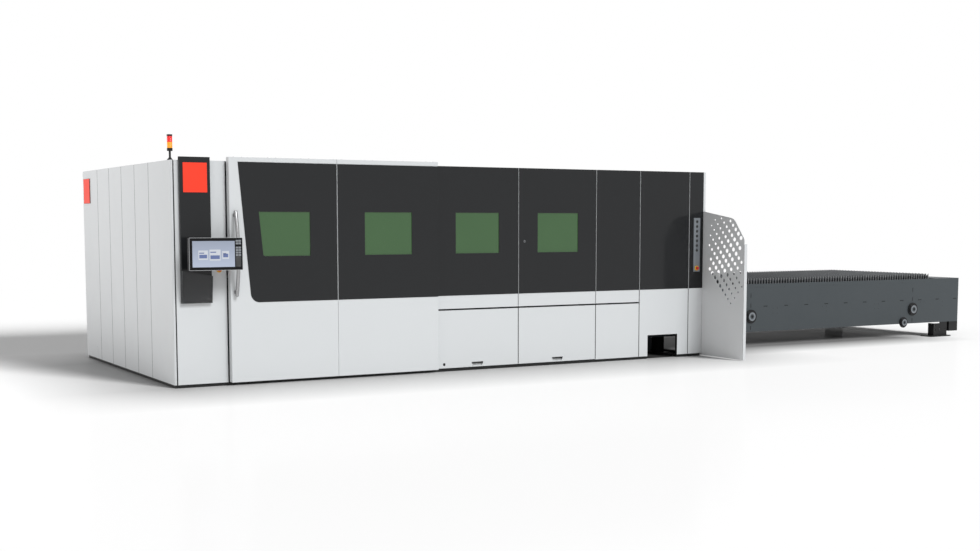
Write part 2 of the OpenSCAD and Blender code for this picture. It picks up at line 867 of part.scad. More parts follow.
module stop_bases() {
  color("gold") {
    stop_base(strip_x + strip_w / 2, strip_front, stop_z);
    stop_base(panel_stop_x, 0, panel_stop_z);
  }
}

// Red mushroom on a stem, over a base whose back lies on y
module stop_button(x, y, z) {
  cap = 18;
  lift = 10;
  base = y - stop_base_t;
  color("crimson") translate([x, base - lift - cap, z]) rotate([-90, 0, 0]) rotate_extrude() {
    square([stop_stem_r, cap + lift + stop_base_t + 3]);
    translate([0, cap / 2]) square([stop_r, cap / 2]);
    intersection() {
      square([stop_r, cap]);
      translate([0, stop_r * 1.2]) circle(stop_r * 1.2);
    }
  }
}

module column_stop_button() { stop_button(panel_stop_x, 0, panel_stop_z); }
module strip_stop_button() { stop_button(strip_x + strip_w / 2, strip_front, stop_z); }

module signal_mast() {
  foot_h = 30;
  pole_r = 11;
  cap_h = 18;
  color(black) translate([mast_x, mast_y, 0]) {
    translate([0, 0, cabin_h]) cylinder(r1 = signal_r + 5, r2 = pole_r, h = foot_h);
    translate([0, 0, cabin_h + foot_h]) cylinder(r = pole_r, h = mast_z - cabin_h - foot_h);
    translate([0, 0, mast_z]) cylinder(r = signal_r, h = lens_z - mast_z);
    translate([0, 0, lens_z + 2 * lens_h]) cylinder(r = signal_r, h = cap_h);
  }
}

module lens(z) {
  translate([mast_x, mast_y, z]) cylinder(r = signal_r - 1, h = lens_h);
}
module signal_red_lens() { color("red") lens(lens_z + lens_h); }
module signal_amber_lens() { color("orange") lens(lens_z); }

// Sliding door

module door_track() {
  color(steel) difference() {
    translate([track_x, panel_d, track_z]) cube([track_end - track_x, track_w, track_h - seam / 2]);
    translate([track_x + track_t, panel_d + track_t, track_z + track_t])
      cube([track_end - track_x - 2 * track_t, track_w - 2 * track_t, track_h]);
  }
}

module door_window1() {
  head = [door_x + window1_in - window_lean, window_z + window_h];
  foot = [door_x + window1_in, window_z];
  right = [head[0] + window_w, window_z];
  difference() {
    polygon([head, foot, right, [right[0], head[1]]]);
    corner_waste(head, foot, right, window_r);
  }
}

module door_window2() {
  translate([door_x + window2_in, window_z]) square([window_w, window_h]);
}

module hanger(x) {
  arm_t = 14;
  arm_z = door_top - sheet_t - arm_t;
  axle_back = roller_y + roller_w / 2 + 6;
  plate_y = roller_y - roller_w / 2 - hanger_t - 1;
  translate([x - hanger_w / 2, door_front + edge_r, arm_z])
    cube([hanger_w, plate_y + hanger_t - door_front - edge_r, arm_t]);
  translate([x - hanger_w / 2, plate_y, roller_z - roller_r / 2])
    cube([hanger_w, hanger_t, arm_z + arm_t - roller_z + roller_r / 2]);
  translate([x, 0, roller_z]) rod_y(roller_axle_r, plate_y, axle_back);
}

module door_leaf() {
  groove_d = 8;
  rib = 20;
  color(white) {
    difference() {
      union() {
        translate([door_x, door_front, door_z]) tray(door_w, door_top - door_z, d = door_d);
        translate([door_x + leaf_seam - rib / 2, door_front, door_z])
          cube([rib, 2 * groove_d, door_top - door_z]);
      }
      translate([door_x + leaf_seam - seam / 2, door_front - eps, door_z - eps])
        cube([seam, groove_d + eps, door_top]);
      upright(door_front - eps, sheet_t + edge_r) { door_window1(); door_window2(); }
    }
    for (x = rollers_x) hanger(x);
  }
}

// Dark field of the door: leaning left edge with one round corner
module door_dark_field() {
  top = door_top - dark_top;
  foot = [door_x + dark_in + dark_lean, dark_z];
  right = [door_end - seam, dark_z];
  head = [door_x + dark_in, top];
  difference() {
    polygon([foot, right, [door_end - seam, top], head]);
    corner_waste(head, foot, right, dark_r);
  }
}

module door_dark_plates() {
  color(dark) upright(door_front - dark_t, dark_t) difference() {
    door_dark_field();
    translate([door_x + leaf_seam - seam / 2 - dark_lip, dark_z - eps])
      square([seam + 2 * dark_lip, cabin_h]);
    door_window1();
    door_window2();
  }
}

module door_windows() {
  color("darkseagreen") {
    pane(door_x + window1_in - window_lean, window_w, door_front + sheet_t + edge_r / 3);
    pane(door_x + window2_in, window_w, door_front + sheet_t + edge_r / 3);
  }
}

module door_handle() {
  post_r = 13;
  post_in = 40;
  half = handle_l / 2;
  bow_r = (half * half + handle_bow * handle_bow) / (2 * handle_bow);
  turn = asin(half / bow_r);
  crest = door_front - handle_off - handle_bow;
  color(steel) translate([door_x + handle_in, 0, handle_z + half]) {
    translate([0, crest + bow_r, 0]) rotate([90, 0, -90]) rotate(-turn)
      rotate_extrude(angle = 2 * turn) translate([bow_r, 0]) circle(handle_r);
    for (z = [post_in - half, half - post_in])
      translate([0, 0, z]) rod_y(post_r, door_front - handle_off - 8, door_front);
  }
}

module door_roller(x) {
  color(black) translate([x, 0, roller_z]) difference() {
    rod_y(roller_r, roller_y - roller_w / 2, roller_y + roller_w / 2);
    rod_y(roller_axle_r + run, roller_y - roller_w, roller_y + roller_w);
  }
}
module door_roller_left() { door_roller(rollers_x[0]); }
module door_roller_right() { door_roller(rollers_x[1]); }

// Flaps

module flap(x0, x1) {
  low = plinth_h + flap_gap;
  mid = (x0 + x1) / 2;
  dish_z = low + 16;
  dish_lean = 18;
  knuckle_y = knuckle_r + 0.5;
  color(white) difference() {
    union() {
      translate([x0, 0, low]) tray(x1 - x0, groove_lo - low, d = flap_d);
      translate([mid - dish_w / 2 - sheet_t, 0, dish_z - sheet_t])
        cube([dish_w + 2 * sheet_t, dish_d + sheet_t, dish_h + 2 * sheet_t]);
      for (x = knuckles_x(x0 - front_seam / 2, x1 + front_seam / 2)) translate([x, knuckle_y, 0]) {
        translate([0, 0, groove_z]) rod_x(knuckle_r, 0, knuckle_l);
        translate([0, -knuckle_r / 2, groove_lo - sheet_t])
          cube([knuckle_l, knuckle_r * 1.5, groove_z - groove_lo + sheet_t]);
      }
    }
    for (x = knuckles_x(x0 - front_seam / 2, x1 + front_seam / 2)) translate([x, knuckle_y, groove_z])
      rod_x(pin_r + run, -eps, knuckle_l + eps);
    upright(-eps, dish_d + eps) translate([mid, dish_z])
      polygon([[-dish_w / 2, dish_h], [dish_w / 2, dish_h], [dish_w / 2 - dish_lean, 0],
        [dish_lean - dish_w / 2, 0]]);
  }
}
module flap_left() { flap(flap1_x + front_seam / 2, bay1_x - front_seam / 2); }
module flap_right() { flap(bay1_x + front_seam / 2, bay2_x - front_seam / 2); }

// Motion system

module machine_frame() {
  column_low = 240;
  column_top = beam_top - 20;
  clamp = 30;
  clamp_w = 80;
  guide_in = 20;
  bracket_in = 200;
  bracket_w = 120;
  color(slate) {
    both_sides() {
      difference() {
        translate([beam_x, beam_y, beam_z]) cube([beam_end - beam_x, beam_w, beam_top - beam_z]);
        translate([beam_x - eps, beam_y + beam_t, beam_z + beam_t])
          cube([beam_end - beam_x + 2 * eps, beam_w - 2 * beam_t, beam_top - beam_z - 2 * beam_t]);
      }
      for (x = [beam_x + foot_in, (beam_x + beam_end - foot_w) / 2, beam_end - foot_w - foot_in])
        translate([x, beam_y - 10, 0]) cube([foot_w, beam_w + 20, beam_z]);
      translate([beam_x + guide_in, guide_y - guide_w / 2, beam_top])
        cube([beam_end - beam_x - 2 * guide_in, guide_w, guide_h]);
      translate([changer_x + bracket_in, beam_y + beam_w, cheek_top - bracket_in])
        cube([bracket_w, beam_gap, bracket_w]);
      for (x = lift_x) {
        translate([x, lift_y, column_low]) cylinder(r = lift_r, h = column_top - column_low);
        for (z = [column_low, column_top - clamp])
          translate([x - clamp_w / 2, beam_y + beam_w, z])
            cube([clamp_w, lift_y + lift_r - beam_y - beam_w - 2, clamp]);
      }
    }
    for (x = [beam_x + foot_in, beam_end - foot_w - foot_in])
      translate([x + foot_w / 4, beam_y + beam_w, cross_z])
        cube([foot_w / 2, 2 * (table_mid - beam_y - beam_w), cross_h]);
  }
}

module gantry_beam() {
  gantry_t = 14;
  shoe_w = 80;
  shoe_gap = 4;
  shoe_out = 20;
  over = guide_y - shoe_w / 2;
  color(white) {
    difference() {
      translate([gantry_x, over, gantry_z]) cube([gantry_w, 2 * (table_mid - over), gantry_h]);
      translate([gantry_x + gantry_t, over - eps, gantry_z + gantry_t])
        cube([gantry_w - 2 * gantry_t, 2 * (table_mid - over + eps), gantry_h - 2 * gantry_t]);
    }
    both_sides() {
      difference() {
        translate([gantry_x - shoe_out, over, beam_top + shoe_gap])
          cube([gantry_w + shoe_out, shoe_w, gantry_z - beam_top - shoe_gap]);
        translate([gantry_x - shoe_out - eps, guide_y - guide_w / 2 - slide, 0])
          cube([gantry_w + shoe_out + 2 * eps, guide_w + 2 * slide, guide_top + slide]);
      }
    }
    for (z = way_z) translate([gantry_face, over + shoe_w, z - way_w / 2])
      cube([way_w, 2 * (table_mid - over - shoe_w), way_w]);
  }
}

module carriage() {
  low = gantry_z - 20;
  high = gantry_z + gantry_h + 40;
  color(dark) difference() {
    union() {
      translate([gantry_face + slide, carriage_y, low])
        cube([way_w + carriage_t, carriage_w, high - low]);
      translate([head_x, carriage_y + (carriage_w - slide_w) / 2, low])
        cube([slide_d, slide_w, high - low]);
    }
    for (z = way_z) translate([gantry_face - eps, carriage_y - eps, z - way_w / 2 - slide])
      cube([way_w + slide + eps, carriage_w + 2 * eps, way_w + 2 * slide]);
  }
}

module cutting_head() {
  mid = carriage_y + carriage_w / 2;
  back = head_x + slide;
  axis_x = back + slide_d + 60;
  low = gantry_z - 40;
  high = gantry_z + gantry_h - 40;
  nozzle_h = 26;
  color("gray") {
    difference() {
      translate([back, mid - head_w / 2, low]) cube([slide_d + 110, head_w, high - low]);
      translate([back - eps, mid - slide_w / 2 - slide, low - eps])
        cube([slide_d + eps, slide_w + 2 * slide, high - low + 2 * eps]);
    }
    translate([axis_x, mid, nozzle_z + nozzle_h]) cylinder(r = 34, h = low - nozzle_z - nozzle_h);
    translate([axis_x, mid, nozzle_z]) cylinder(r1 = 4, r2 = 20, h = nozzle_h);
  }
}

module control_cabinets() {
  low_x = plinth_in + plinth_w + seam;
  depth = front_left_x - partition_t - low_x;
  span = cabin_d - 2 * panel_d - post_w - 100;
  count = 3;
  wall = 4;
  pitch = span / count;
  tall = track_z - header_h - 100;
  color("lightgray") for (i = [0:count - 1])
    translate([low_x, panel_d + post_w + 50 + i * pitch, 0]) difference() {
      cube([depth, pitch - 10, tall]);
      translate([wall, wall, -eps]) cube([depth - 2 * wall, pitch - 10 - 2 * wall, tall - wall + eps]);
    }
}

// Lift cradle with two rail levels

module rails(x0, x1) {
  for (level = [0, 1])
    translate([x0, cheek_y + cheek_t, rail_z - rail_t - level * level_h]) cube([x1 - x0, rail_w, rail_t]);
}

module lift_cradle() {
  low = rail_z - level_h - 80;
  high = rail_z + 20;
  collar_h = 60;
  collar_z = rail_z - level_h + 60;
  collar_r = lift_r + 7;
  cross = 60;
  color(slate) {
    both_sides() {
      difference() {
        union() {
          translate([cradle_x, cheek_y, low]) cube([cradle_end - cradle_x, cradle_t, high - low]);
          for (x = lift_x) {
            translate([x, lift_y, collar_z]) cylinder(r = collar_r, h = collar_h);
            translate([x - collar_r, lift_y, collar_z]) cube([2 * collar_r, cheek_y - lift_y, collar_h]);
          }
        }
        for (x = lift_x) translate([x, lift_y, collar_z - eps])
          cylinder(r = lift_r + run, h = collar_h + 2 * eps);
      }
      rails(cradle_x, cradle_end);
    }
    for (x = [cradle_x + 60, (cradle_x + cradle_end - cross) / 2, cradle_end - 60 - cross])
      translate([x, cheek_y + cradle_t, low]) cube([cross, changer_w - 2 * cradle_t, cross]);
  }
}

// Pallets

module pallet_frame(x, drop) {
  wheels = [x + axle_in, x + pallet_l - axle_in];
  cross = 50;
  cross_h = 40;
  bar = 60;
  color(slate) translate([0, 0, -drop]) difference() {
    union() {
      both_sides() translate([x, pallet_y, pallet_z]) cube([pallet_l, pallet_beam, pallet_h]);
      for (end = [x, x + pallet_l - bar])
        translate([end, pallet_y, pallet_z]) cube([bar, pallet_w, pallet_h]);
      for (i = [1:3])
        translate([x + i * pallet_l / 4 - cross / 2, pallet_y, pallet_top - cross_h - 4])
          cube([cross, pallet_w, cross_h]);
    }
    for (w = wheels) translate([w, 0, axle_z])
      rod_y(axle_r + run, pallet_y - eps, pallet_y + pallet_w + eps);
  }
}
module outer_pallet_frame() { pallet_frame(outer_x, 0); }
module inner_pallet_frame() { pallet_frame(inner_x, level_h); }

// One serrated slat standing on the side beams
module slat() {
  inset = 20;
  len = pallet_w - 2 * inset;
  pitch = len / tooth_n;
  crest = [for (i = [0:tooth_n - 1], s = [0, 1])
    [s == 0 ? i * pitch : (i + 0.5) * pitch, s == 0 ? slat_h - tooth_h : slat_h]];
  translate([0, pallet_y + inset, pallet_top]) rotate([90, 0, 90]) linear_extrude(slat_t)
    polygon(concat([[0, 0]], crest, [[len, slat_h - tooth_h], [len, 0]]));
}

module slats(x, drop) {
  first = x + pallet_end - 35;
  color("gray") for (i = [0:slat_count - 1]) translate([first + i * slat_pitch, 0, -drop]) slat();
}
module outer_slats() { slats(outer_x, 0); }
module inner_slats() { slats(inner_x, level_h); }

// Axle with a wheel at each end
module wheelset(x, drop) {
  wheel_y = cheek_y + cheek_t + 14;
  color("dimgray") translate([x, 0, axle_z - drop]) {
    rod_y(axle_r, wheel_y - 4, 2 * table_mid - wheel_y + 4);
    both_sides() rod_y(wheel_r, wheel_y, wheel_y + wheel_w);
  }
}
module outer_wheelset_left() { wheelset(outer_x + axle_in, 0); }
module outer_wheelset_right() { wheelset(outer_x + pallet_l - axle_in, 0); }
module inner_wheelset_left() { wheelset(inner_x + axle_in, level_h); }
module inner_wheelset_right() { wheelset(inner_x + pallet_l - axle_in, level_h); }

// Changer

// Turned hub on the outside of a cheek
module hub(x, z, r) {
  translate([x, cheek_y, z]) rotate([90, 0, 0]) rotate_extrude() {
    square([r, hub_d * 0.45]);
    square([r * 0.82, hub_d * 0.8]);
    difference() {
      square([r * 0.62, hub_d]);
      translate([0, hub_d * 0.85]) square([r * 0.2, hub_d]);
    }
  }
}

module changer_frame() {
  tab_w = 74;
  tab_h = 12;
  tab_z = 569;
  tabs = 11;
  dash_w = 12;
  dash_h = 60;
  cross = 80;
  cover = 12;
  cover_x = outer_x + pallet_l + 20;
  block_l = 186;
  block_w = 90;
  block_z = 74;
  color(slate) {
    both_sides() {
      difference() {
        translate([changer_x, cheek_y, cheek_z])
          cube([changer_end - changer_x, cheek_t, cheek_top - cheek_z]);
        for (i = [0:tabs - 1]) translate([tab_first + i * tab_pitch - tab_w / 2, cheek_y - eps, tab_z])
          cube([tab_w, cheek_t / 2 + eps, tab_h]);
        for (x = hub_x, z = [cheek_z + 24, hub_z + 122, hub_z + 262])
          translate([x - dash_w / 2, cheek_y - eps, z]) cube([dash_w, cheek_t / 2 - eps, dash_h]);
      }
      rails(changer_x, changer_end - 40);
    }
    for (x = hub_x) hub(x, hub_z, hub_r);
    hub(hub_small_x, hub_small_z, hub_small_r);
    for (x = [cabin_l + 200, outer_x + 1400, outer_x + 2800])
      translate([x, cheek_y + cheek_t, cheek_z + 10]) cube([cross, changer_w - 2 * cheek_t, cross]);
    translate([changer_end - cheek_t, cheek_y, cheek_z]) cube([cheek_t, changer_w, cheek_top - cheek_z]);
    translate([cover_x, cheek_y + cheek_t, cheek_top - cover])
      cube([changer_end - cover_x, changer_w - 2 * cheek_t, cover]);
    translate([changer_end - block_l, cheek_y, block_z]) cube([block_l, block_w, cheek_z - block_z]);
  }
}

// Folded leg from x0 to x1 on a foot plate with four anchor holes, the plate's middle on x
module leg(x, x0, x1, plate_w) {
  depth = 110;
  leg_t = 10;
  hole_in = 28;
  plate_y = cheek_y - 60;
  difference() {
    translate([x0, cheek_y, foot_plate_t]) cube([x1 - x0, depth, cheek_z - foot_plate_t]);
    translate([x0 + leg_t, cheek_y + leg_t, foot_plate_t - eps])
      cube([x1 - x0 - 2 * leg_t, depth, cheek_z]);
    children();
  }
  difference() {
    translate([x - plate_w / 2, plate_y, 0]) cube([plate_w, foot_plate_d, foot_plate_t]);
    for (dx = [-1, 1], dy = [hole_in, foot_plate_d - hole_in])
      translate([x + dx * (plate_w / 2 - hole_in), plate_y + dy, -eps])
        cylinder(r = anchor_r, h = foot_plate_t + 2 * eps);
  }
}

module changer_legs() {
  near = leg_x[1] + end_leg_in;
  slot_w = 12;
  slot_h = 86;
  bolt_r = 7;
  notch_w = 136;
  notch_h = 20;
  color(black) both_sides() {
    leg(leg_x[0], leg_x[0] - leg_w / 2, leg_x[0] + leg_w / 2, 220);
    leg(leg_x[1], near, near + end_leg_w, 420) {
      translate([near + 30, cheek_y - eps, slot_h]) cube([slot_w, 12, slot_h]);
      translate([near - eps, cheek_y - eps, cheek_z - notch_h]) cube([notch_w, 200, notch_h + eps]);
      for (at = [[138, 124], [148, 86], [251, 114]])
        translate([near + at[0], 0, at[1]]) rod_y(bolt_r, cheek_y - eps, cheek_y + 20);
    }
  }
}

// Scrap handling

module conveyor_frame() {
  low = cross_z + cross_h;
  high = 340;
  leg = 70;
  tie = 40;
  x0 = belt_x - conveyor_end;
  x1 = belt_end + conveyor_end;
  gap = 2 * (belt_mid - conveyor_y - conveyor_t);
  color(slate) {
    both_sides() {
      difference() {
        translate([x0, conveyor_y, low]) cube([x1 - x0, conveyor_t, high - low]);
        for (x = [belt_x, belt_end]) translate([x, 0, belt_z])
          rod_y(drum_shaft_r + run, conveyor_y - eps, conveyor_y + conveyor_t + eps);
      }
      for (x = [x0 + 200, (x0 + x1) / 2, x1 - 270])
        translate([x, conveyor_y - leg + conveyor_t, 0]) cube([leg, leg, low]);
    }
    for (x = [x0 + 400, (x0 + x1) / 2, x1 - 400])
      translate([x, conveyor_y + conveyor_t, belt_z - tie / 2]) cube([tie, gap, tie]);
  }
}

// Outline of the belt loop at distance r from the drum centres
module belt_loop(r) {
  translate([belt_x, belt_z - r]) square([belt_end - belt_x, 2 * r]);
  for (x = [belt_x, belt_end]) translate([x, belt_z]) circle(r);
}

module conveyor_belt() {
  color(black) upright(belt_mid - belt_w / 2, belt_w) difference() {
    belt_loop(belt_skin + belt_t);
    belt_loop(belt_skin);
  }
}

module drum(x) {
  color(steel) translate([x, 0, belt_z]) {
    rod_y(drum_r, belt_mid - drum_l / 2, belt_mid + drum_l / 2);
    rod_y(drum_shaft_r, conveyor_y - 4, 2 * belt_mid - conveyor_y + 4);
  }
}
module conveyor_drive_drum() { drum(belt_end); }
module conveyor_tail_drum() { drum(belt_x); }

module scrap_bin() {
  bin_x = belt_end + conveyor_end;
  bin_end = cabin_l - bin_tail;
  bin_y = cheek_y + bin_in;
  wall = 4;
  skid = 20;
  color("gray") {
    translate([bin_x, bin_y, skid]) difference() {
      cube([bin_end - bin_x, bin_d, bin_h]);
      translate([wall, wall, wall]) cube([bin_end - bin_x - 2 * wall, bin_d - 2 * wall, bin_h]);
    }
    for (x = [bin_x + 60, bin_end - 120]) translate([x, bin_y, 0]) cube([60, bin_d, skid]);
  }
}

// Part frame: origin on the floor under the middle of the overall box
module placed() { translate([-x_mid, -y_mid, 0]) children(); }

placed() base_plinth();
placed() left_wall_panels();
placed() front_frame();
placed() front_panels();
placed() front_dark_plates();
placed() fixed_windows();
placed() roof_panels();
placed() rear_wall_panels();
placed() end_wall();
placed() entry_shutter();
placed() partition_wall();
placed() guard_wing();
placed() operator_column();
placed() accent_plates();
placed() button_strip();
placed() stop_bases();
placed() signal_mast();
placed() signal_red_lens();
placed() signal_amber_lens();
placed() door_track();
placed() door_leaf();
placed() door_dark_plates();
placed() door_windows();
placed() door_handle();
placed() door_roller_left();
placed() door_roller_right();
placed() flap_left();
placed() flap_right();
placed() hmi_housing();
placed() hmi_screen();
placed() column_stop_button();
placed() strip_stop_button();
placed() strip_button(1);  // strip_button_1
placed() strip_button(2);  // strip_button_2
placed() strip_button(3);  // strip_button_3
placed() strip_button(4);  // strip_button_4
placed() strip_button(5);  // strip_button_5
placed() strip_button(6);  // strip_button_6
placed() strip_button(7);  // strip_button_7
placed() machine_frame();
placed() control_cabinets();
placed() scrap_bin();
placed() conveyor_frame();
placed() conveyor_belt();
placed() conveyor_drive_drum();
placed() conveyor_tail_drum();
placed() gantry_beam();
placed() carriage();
placed() cutting_head();
placed() lift_cradle();
placed() outer_pallet_frame();
placed() outer_slats();
placed() outer_wheelset_left();
placed() outer_wheelset_right();
placed() inner_pallet_frame();
placed() inner_slats();
placed() inner_wheelset_left();
placed() inner_wheelset_right();
placed() changer_frame();
placed() changer_legs();
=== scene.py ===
import json
import math

import bmesh
import bpy
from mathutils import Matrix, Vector

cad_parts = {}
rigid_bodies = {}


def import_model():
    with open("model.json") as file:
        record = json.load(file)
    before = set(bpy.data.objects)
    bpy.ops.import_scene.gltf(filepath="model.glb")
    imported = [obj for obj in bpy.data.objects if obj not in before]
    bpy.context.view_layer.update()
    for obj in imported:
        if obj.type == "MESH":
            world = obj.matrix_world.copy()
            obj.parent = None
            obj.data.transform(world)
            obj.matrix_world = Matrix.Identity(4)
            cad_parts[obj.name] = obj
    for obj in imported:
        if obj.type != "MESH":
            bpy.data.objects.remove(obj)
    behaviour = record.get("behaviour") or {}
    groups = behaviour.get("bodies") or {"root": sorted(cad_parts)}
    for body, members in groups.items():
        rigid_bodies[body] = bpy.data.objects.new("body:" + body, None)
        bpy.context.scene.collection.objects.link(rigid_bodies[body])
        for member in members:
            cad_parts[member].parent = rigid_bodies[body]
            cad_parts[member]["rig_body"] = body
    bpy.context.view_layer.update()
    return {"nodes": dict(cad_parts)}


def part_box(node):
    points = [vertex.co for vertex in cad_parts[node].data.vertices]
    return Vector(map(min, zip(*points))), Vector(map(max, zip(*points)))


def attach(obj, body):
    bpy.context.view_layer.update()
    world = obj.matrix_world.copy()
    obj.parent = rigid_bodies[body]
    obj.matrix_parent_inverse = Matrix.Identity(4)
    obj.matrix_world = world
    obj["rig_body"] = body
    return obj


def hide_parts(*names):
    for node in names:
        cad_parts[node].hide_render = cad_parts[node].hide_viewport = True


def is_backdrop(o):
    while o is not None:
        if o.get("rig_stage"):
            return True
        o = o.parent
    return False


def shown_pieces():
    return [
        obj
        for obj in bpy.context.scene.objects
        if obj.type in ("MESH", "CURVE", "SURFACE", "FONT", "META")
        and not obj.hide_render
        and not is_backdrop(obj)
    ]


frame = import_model()
nodes = frame["nodes"]
bodyOf = {name: piece["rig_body"] for name, piece in nodes.items()}
mm = 0.001

# Places that many pieces share, read from the frame
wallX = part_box("left_wall_panels")[0].x  # outer face of the left wall
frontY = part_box("front_panels")[0].y  # outer face of the fixed front
doorLow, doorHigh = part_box("door_leaf")
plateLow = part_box("door_dark_plates")[0]
panelLow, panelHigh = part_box("hmi_housing")
changerLow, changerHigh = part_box("changer_frame")
outFront = (0, -1, 0)  # out of the machine's front


# Node-tree helpers: an input takes a plain value or another node's output
def feed(tree, socket, value):
    if hasattr(value, "is_linked"):
        tree.links.new(value, socket)
    else:
        socket.default_value = value


def place(tree, kind, values=None, **settings):
    node = tree.nodes.new(kind)
    for key, value in settings.items():
        setattr(node, key, value)
    for key, value in (values or {}).items():
        feed(tree, node.inputs[key], value)
    return node


def ramp(tree, value, low, high, outLow=0.0, outHigh=1.0):
    node = place(tree, "ShaderNodeMapRange", {
        "Value": value, "From Min": low, "From Max": high, "To Min": outLow, "To Max": outHigh}, clamp=True)
    return node.outputs["Result"]


def calculate(tree, operation, *values, **settings):
    node = place(tree, "ShaderNodeMath", dict(enumerate(values)), operation=operation, **settings)
    return node.outputs["Value"]


def ownSpot(tree):
    return place(tree, "ShaderNodeTexCoord").outputs["Object"]


def splitAxes(tree, spot):
    return place(tree, "ShaderNodeSeparateXYZ", {"Vector": spot}).outputs


def noise(tree, spot, scale, detail, rough, distortion=0.0):
    node = place(tree, "ShaderNodeTexNoise", {
        "Vector": spot, "Scale": scale, "Detail": detail, "Roughness": rough, "Distortion": distortion})
    return node.outputs["Fac"]


def effectGroup(name, inputs, outputs):
    tree = bpy.data.node_groups.new(name, "ShaderNodeTree")
    for title, default in inputs.items():
        socket = tree.interface.new_socket(title, in_out="INPUT", socket_type="NodeSocketFloat")
        socket.default_value = default
    for title in outputs:
        tree.interface.new_socket(title, in_out="OUTPUT", socket_type="NodeSocketFloat")
    start, end = tree.nodes.new("NodeGroupInput"), tree.nodes.new("NodeGroupOutput")
    return tree, start.outputs, end.inputs


# Orange peel of a sprayed coat, with the slow cloudiness of a large sprayed face
def buildCoatGroup():
    scales = {"Peel Scale": 420.0, "Cloud Scale": 1.1}
    tree, given, sent = effectGroup("sprayCoat", scales, ["Peel", "Cloud"])
    spot = ownSpot(tree)
    feed(tree, sent["Peel"], noise(tree, spot, given["Peel Scale"], detail=2.0, rough=0.5))
    feed(tree, sent["Cloud"], noise(tree, spot, given["Cloud Scale"], detail=3.0, rough=0.55))
    return tree


# Dust and scuffs that gather on the lowest part of a machine's walls
def buildFloorGrimeGroup():
    tree, given, sent = effectGroup("floorGrime", {"Reach": 0.35, "Amount": 0.5}, ["Mask"])
    spot = place(tree, "ShaderNodeNewGeometry").outputs["Position"]
    height = ramp(tree, splitAxes(tree, spot)["Z"], 0.0, given["Reach"], 1.0, 0.0)
    patch = ramp(tree, noise(tree, spot, scale=6.0, detail=5.0, rough=0.65), low=0.38, high=0.72)
    both = calculate(tree, "MULTIPLY", height, patch)
    feed(tree, sent["Mask"], calculate(tree, "MULTIPLY", both, given["Amount"]))
    return tree


# Long fine lines of ground or drawn metal, along one axis of the part
def buildGrainGroup():
    tree, given, sent = effectGroup("drawnGrain", {"Along " + axis: 4.0 for axis in "XYZ"}, ["Lines"])
    stretch = place(tree, "ShaderNodeCombineXYZ", {axis: given["Along " + axis] for axis in "XYZ"})
    scaled = place(tree, "ShaderNodeVectorMath", {0: ownSpot(tree), 1: stretch.outputs["Vector"]},
                   operation="MULTIPLY")
    feed(tree, sent["Lines"], noise(tree, scaled.outputs["Vector"], scale=1.0, detail=4.0, rough=0.6))
    return tree


# Smears of hands and cleaning cloths, as a gloss change
def buildSmearGroup():
    tree, given, sent = effectGroup("handSmear", {"Scale": 3.0}, ["Smear"])
    warp = noise(tree, ownSpot(tree), given["Scale"], detail=6.0, rough=0.7, distortion=0.8)
    feed(tree, sent["Smear"], ramp(tree, warp, low=0.35, high=0.7))
    return tree


sprayCoat = buildCoatGroup()
floorGrime = buildFloorGrimeGroup()
drawnGrain = buildGrainGroup()
handSmear = buildSmearGroup()
print("effects: four shared node groups")


def newMaterial(name, values):
    material = bpy.data.materials.new(name)
    material.use_nodes = True
    tree = material.node_tree
    shader = tree.nodes["Principled BSDF"]
    for key, value in values.items():
        shader.inputs[key].default_value = value
    return material, tree, shader


def addEffect(tree, group, **values):
    named = {key.replace("_", " "): value for key, value in values.items()}
    return place(tree, "ShaderNodeGroup", named, node_tree=group).outputs


def mixColours(tree, mask, first, second):
    node = place(tree, "ShaderNodeMix", {"Factor": mask}, data_type="RGBA")
    for title, value in (("A", first), ("B", second)):
        socket = [s for s in node.inputs if s.name == title and s.type == "RGBA"][0]
        feed(tree, socket, value if hasattr(value, "is_linked") else (*value, 1.0))
    return [s for s in node.outputs if s.type == "RGBA"][0]


def addGloss(tree, shader, mask, gloss, low=0.0, high=1.0):
    feed(tree, shader.inputs["Roughness"], ramp(tree, mask, low, high, *gloss))


def addBump(tree, shader, height, strength, distance):
    bump = place(tree, "ShaderNodeBump", {"Strength": strength, "Distance": distance, "Height": height})
    feed(tree, shader.inputs["Normal"], bump.outputs["Normal"])


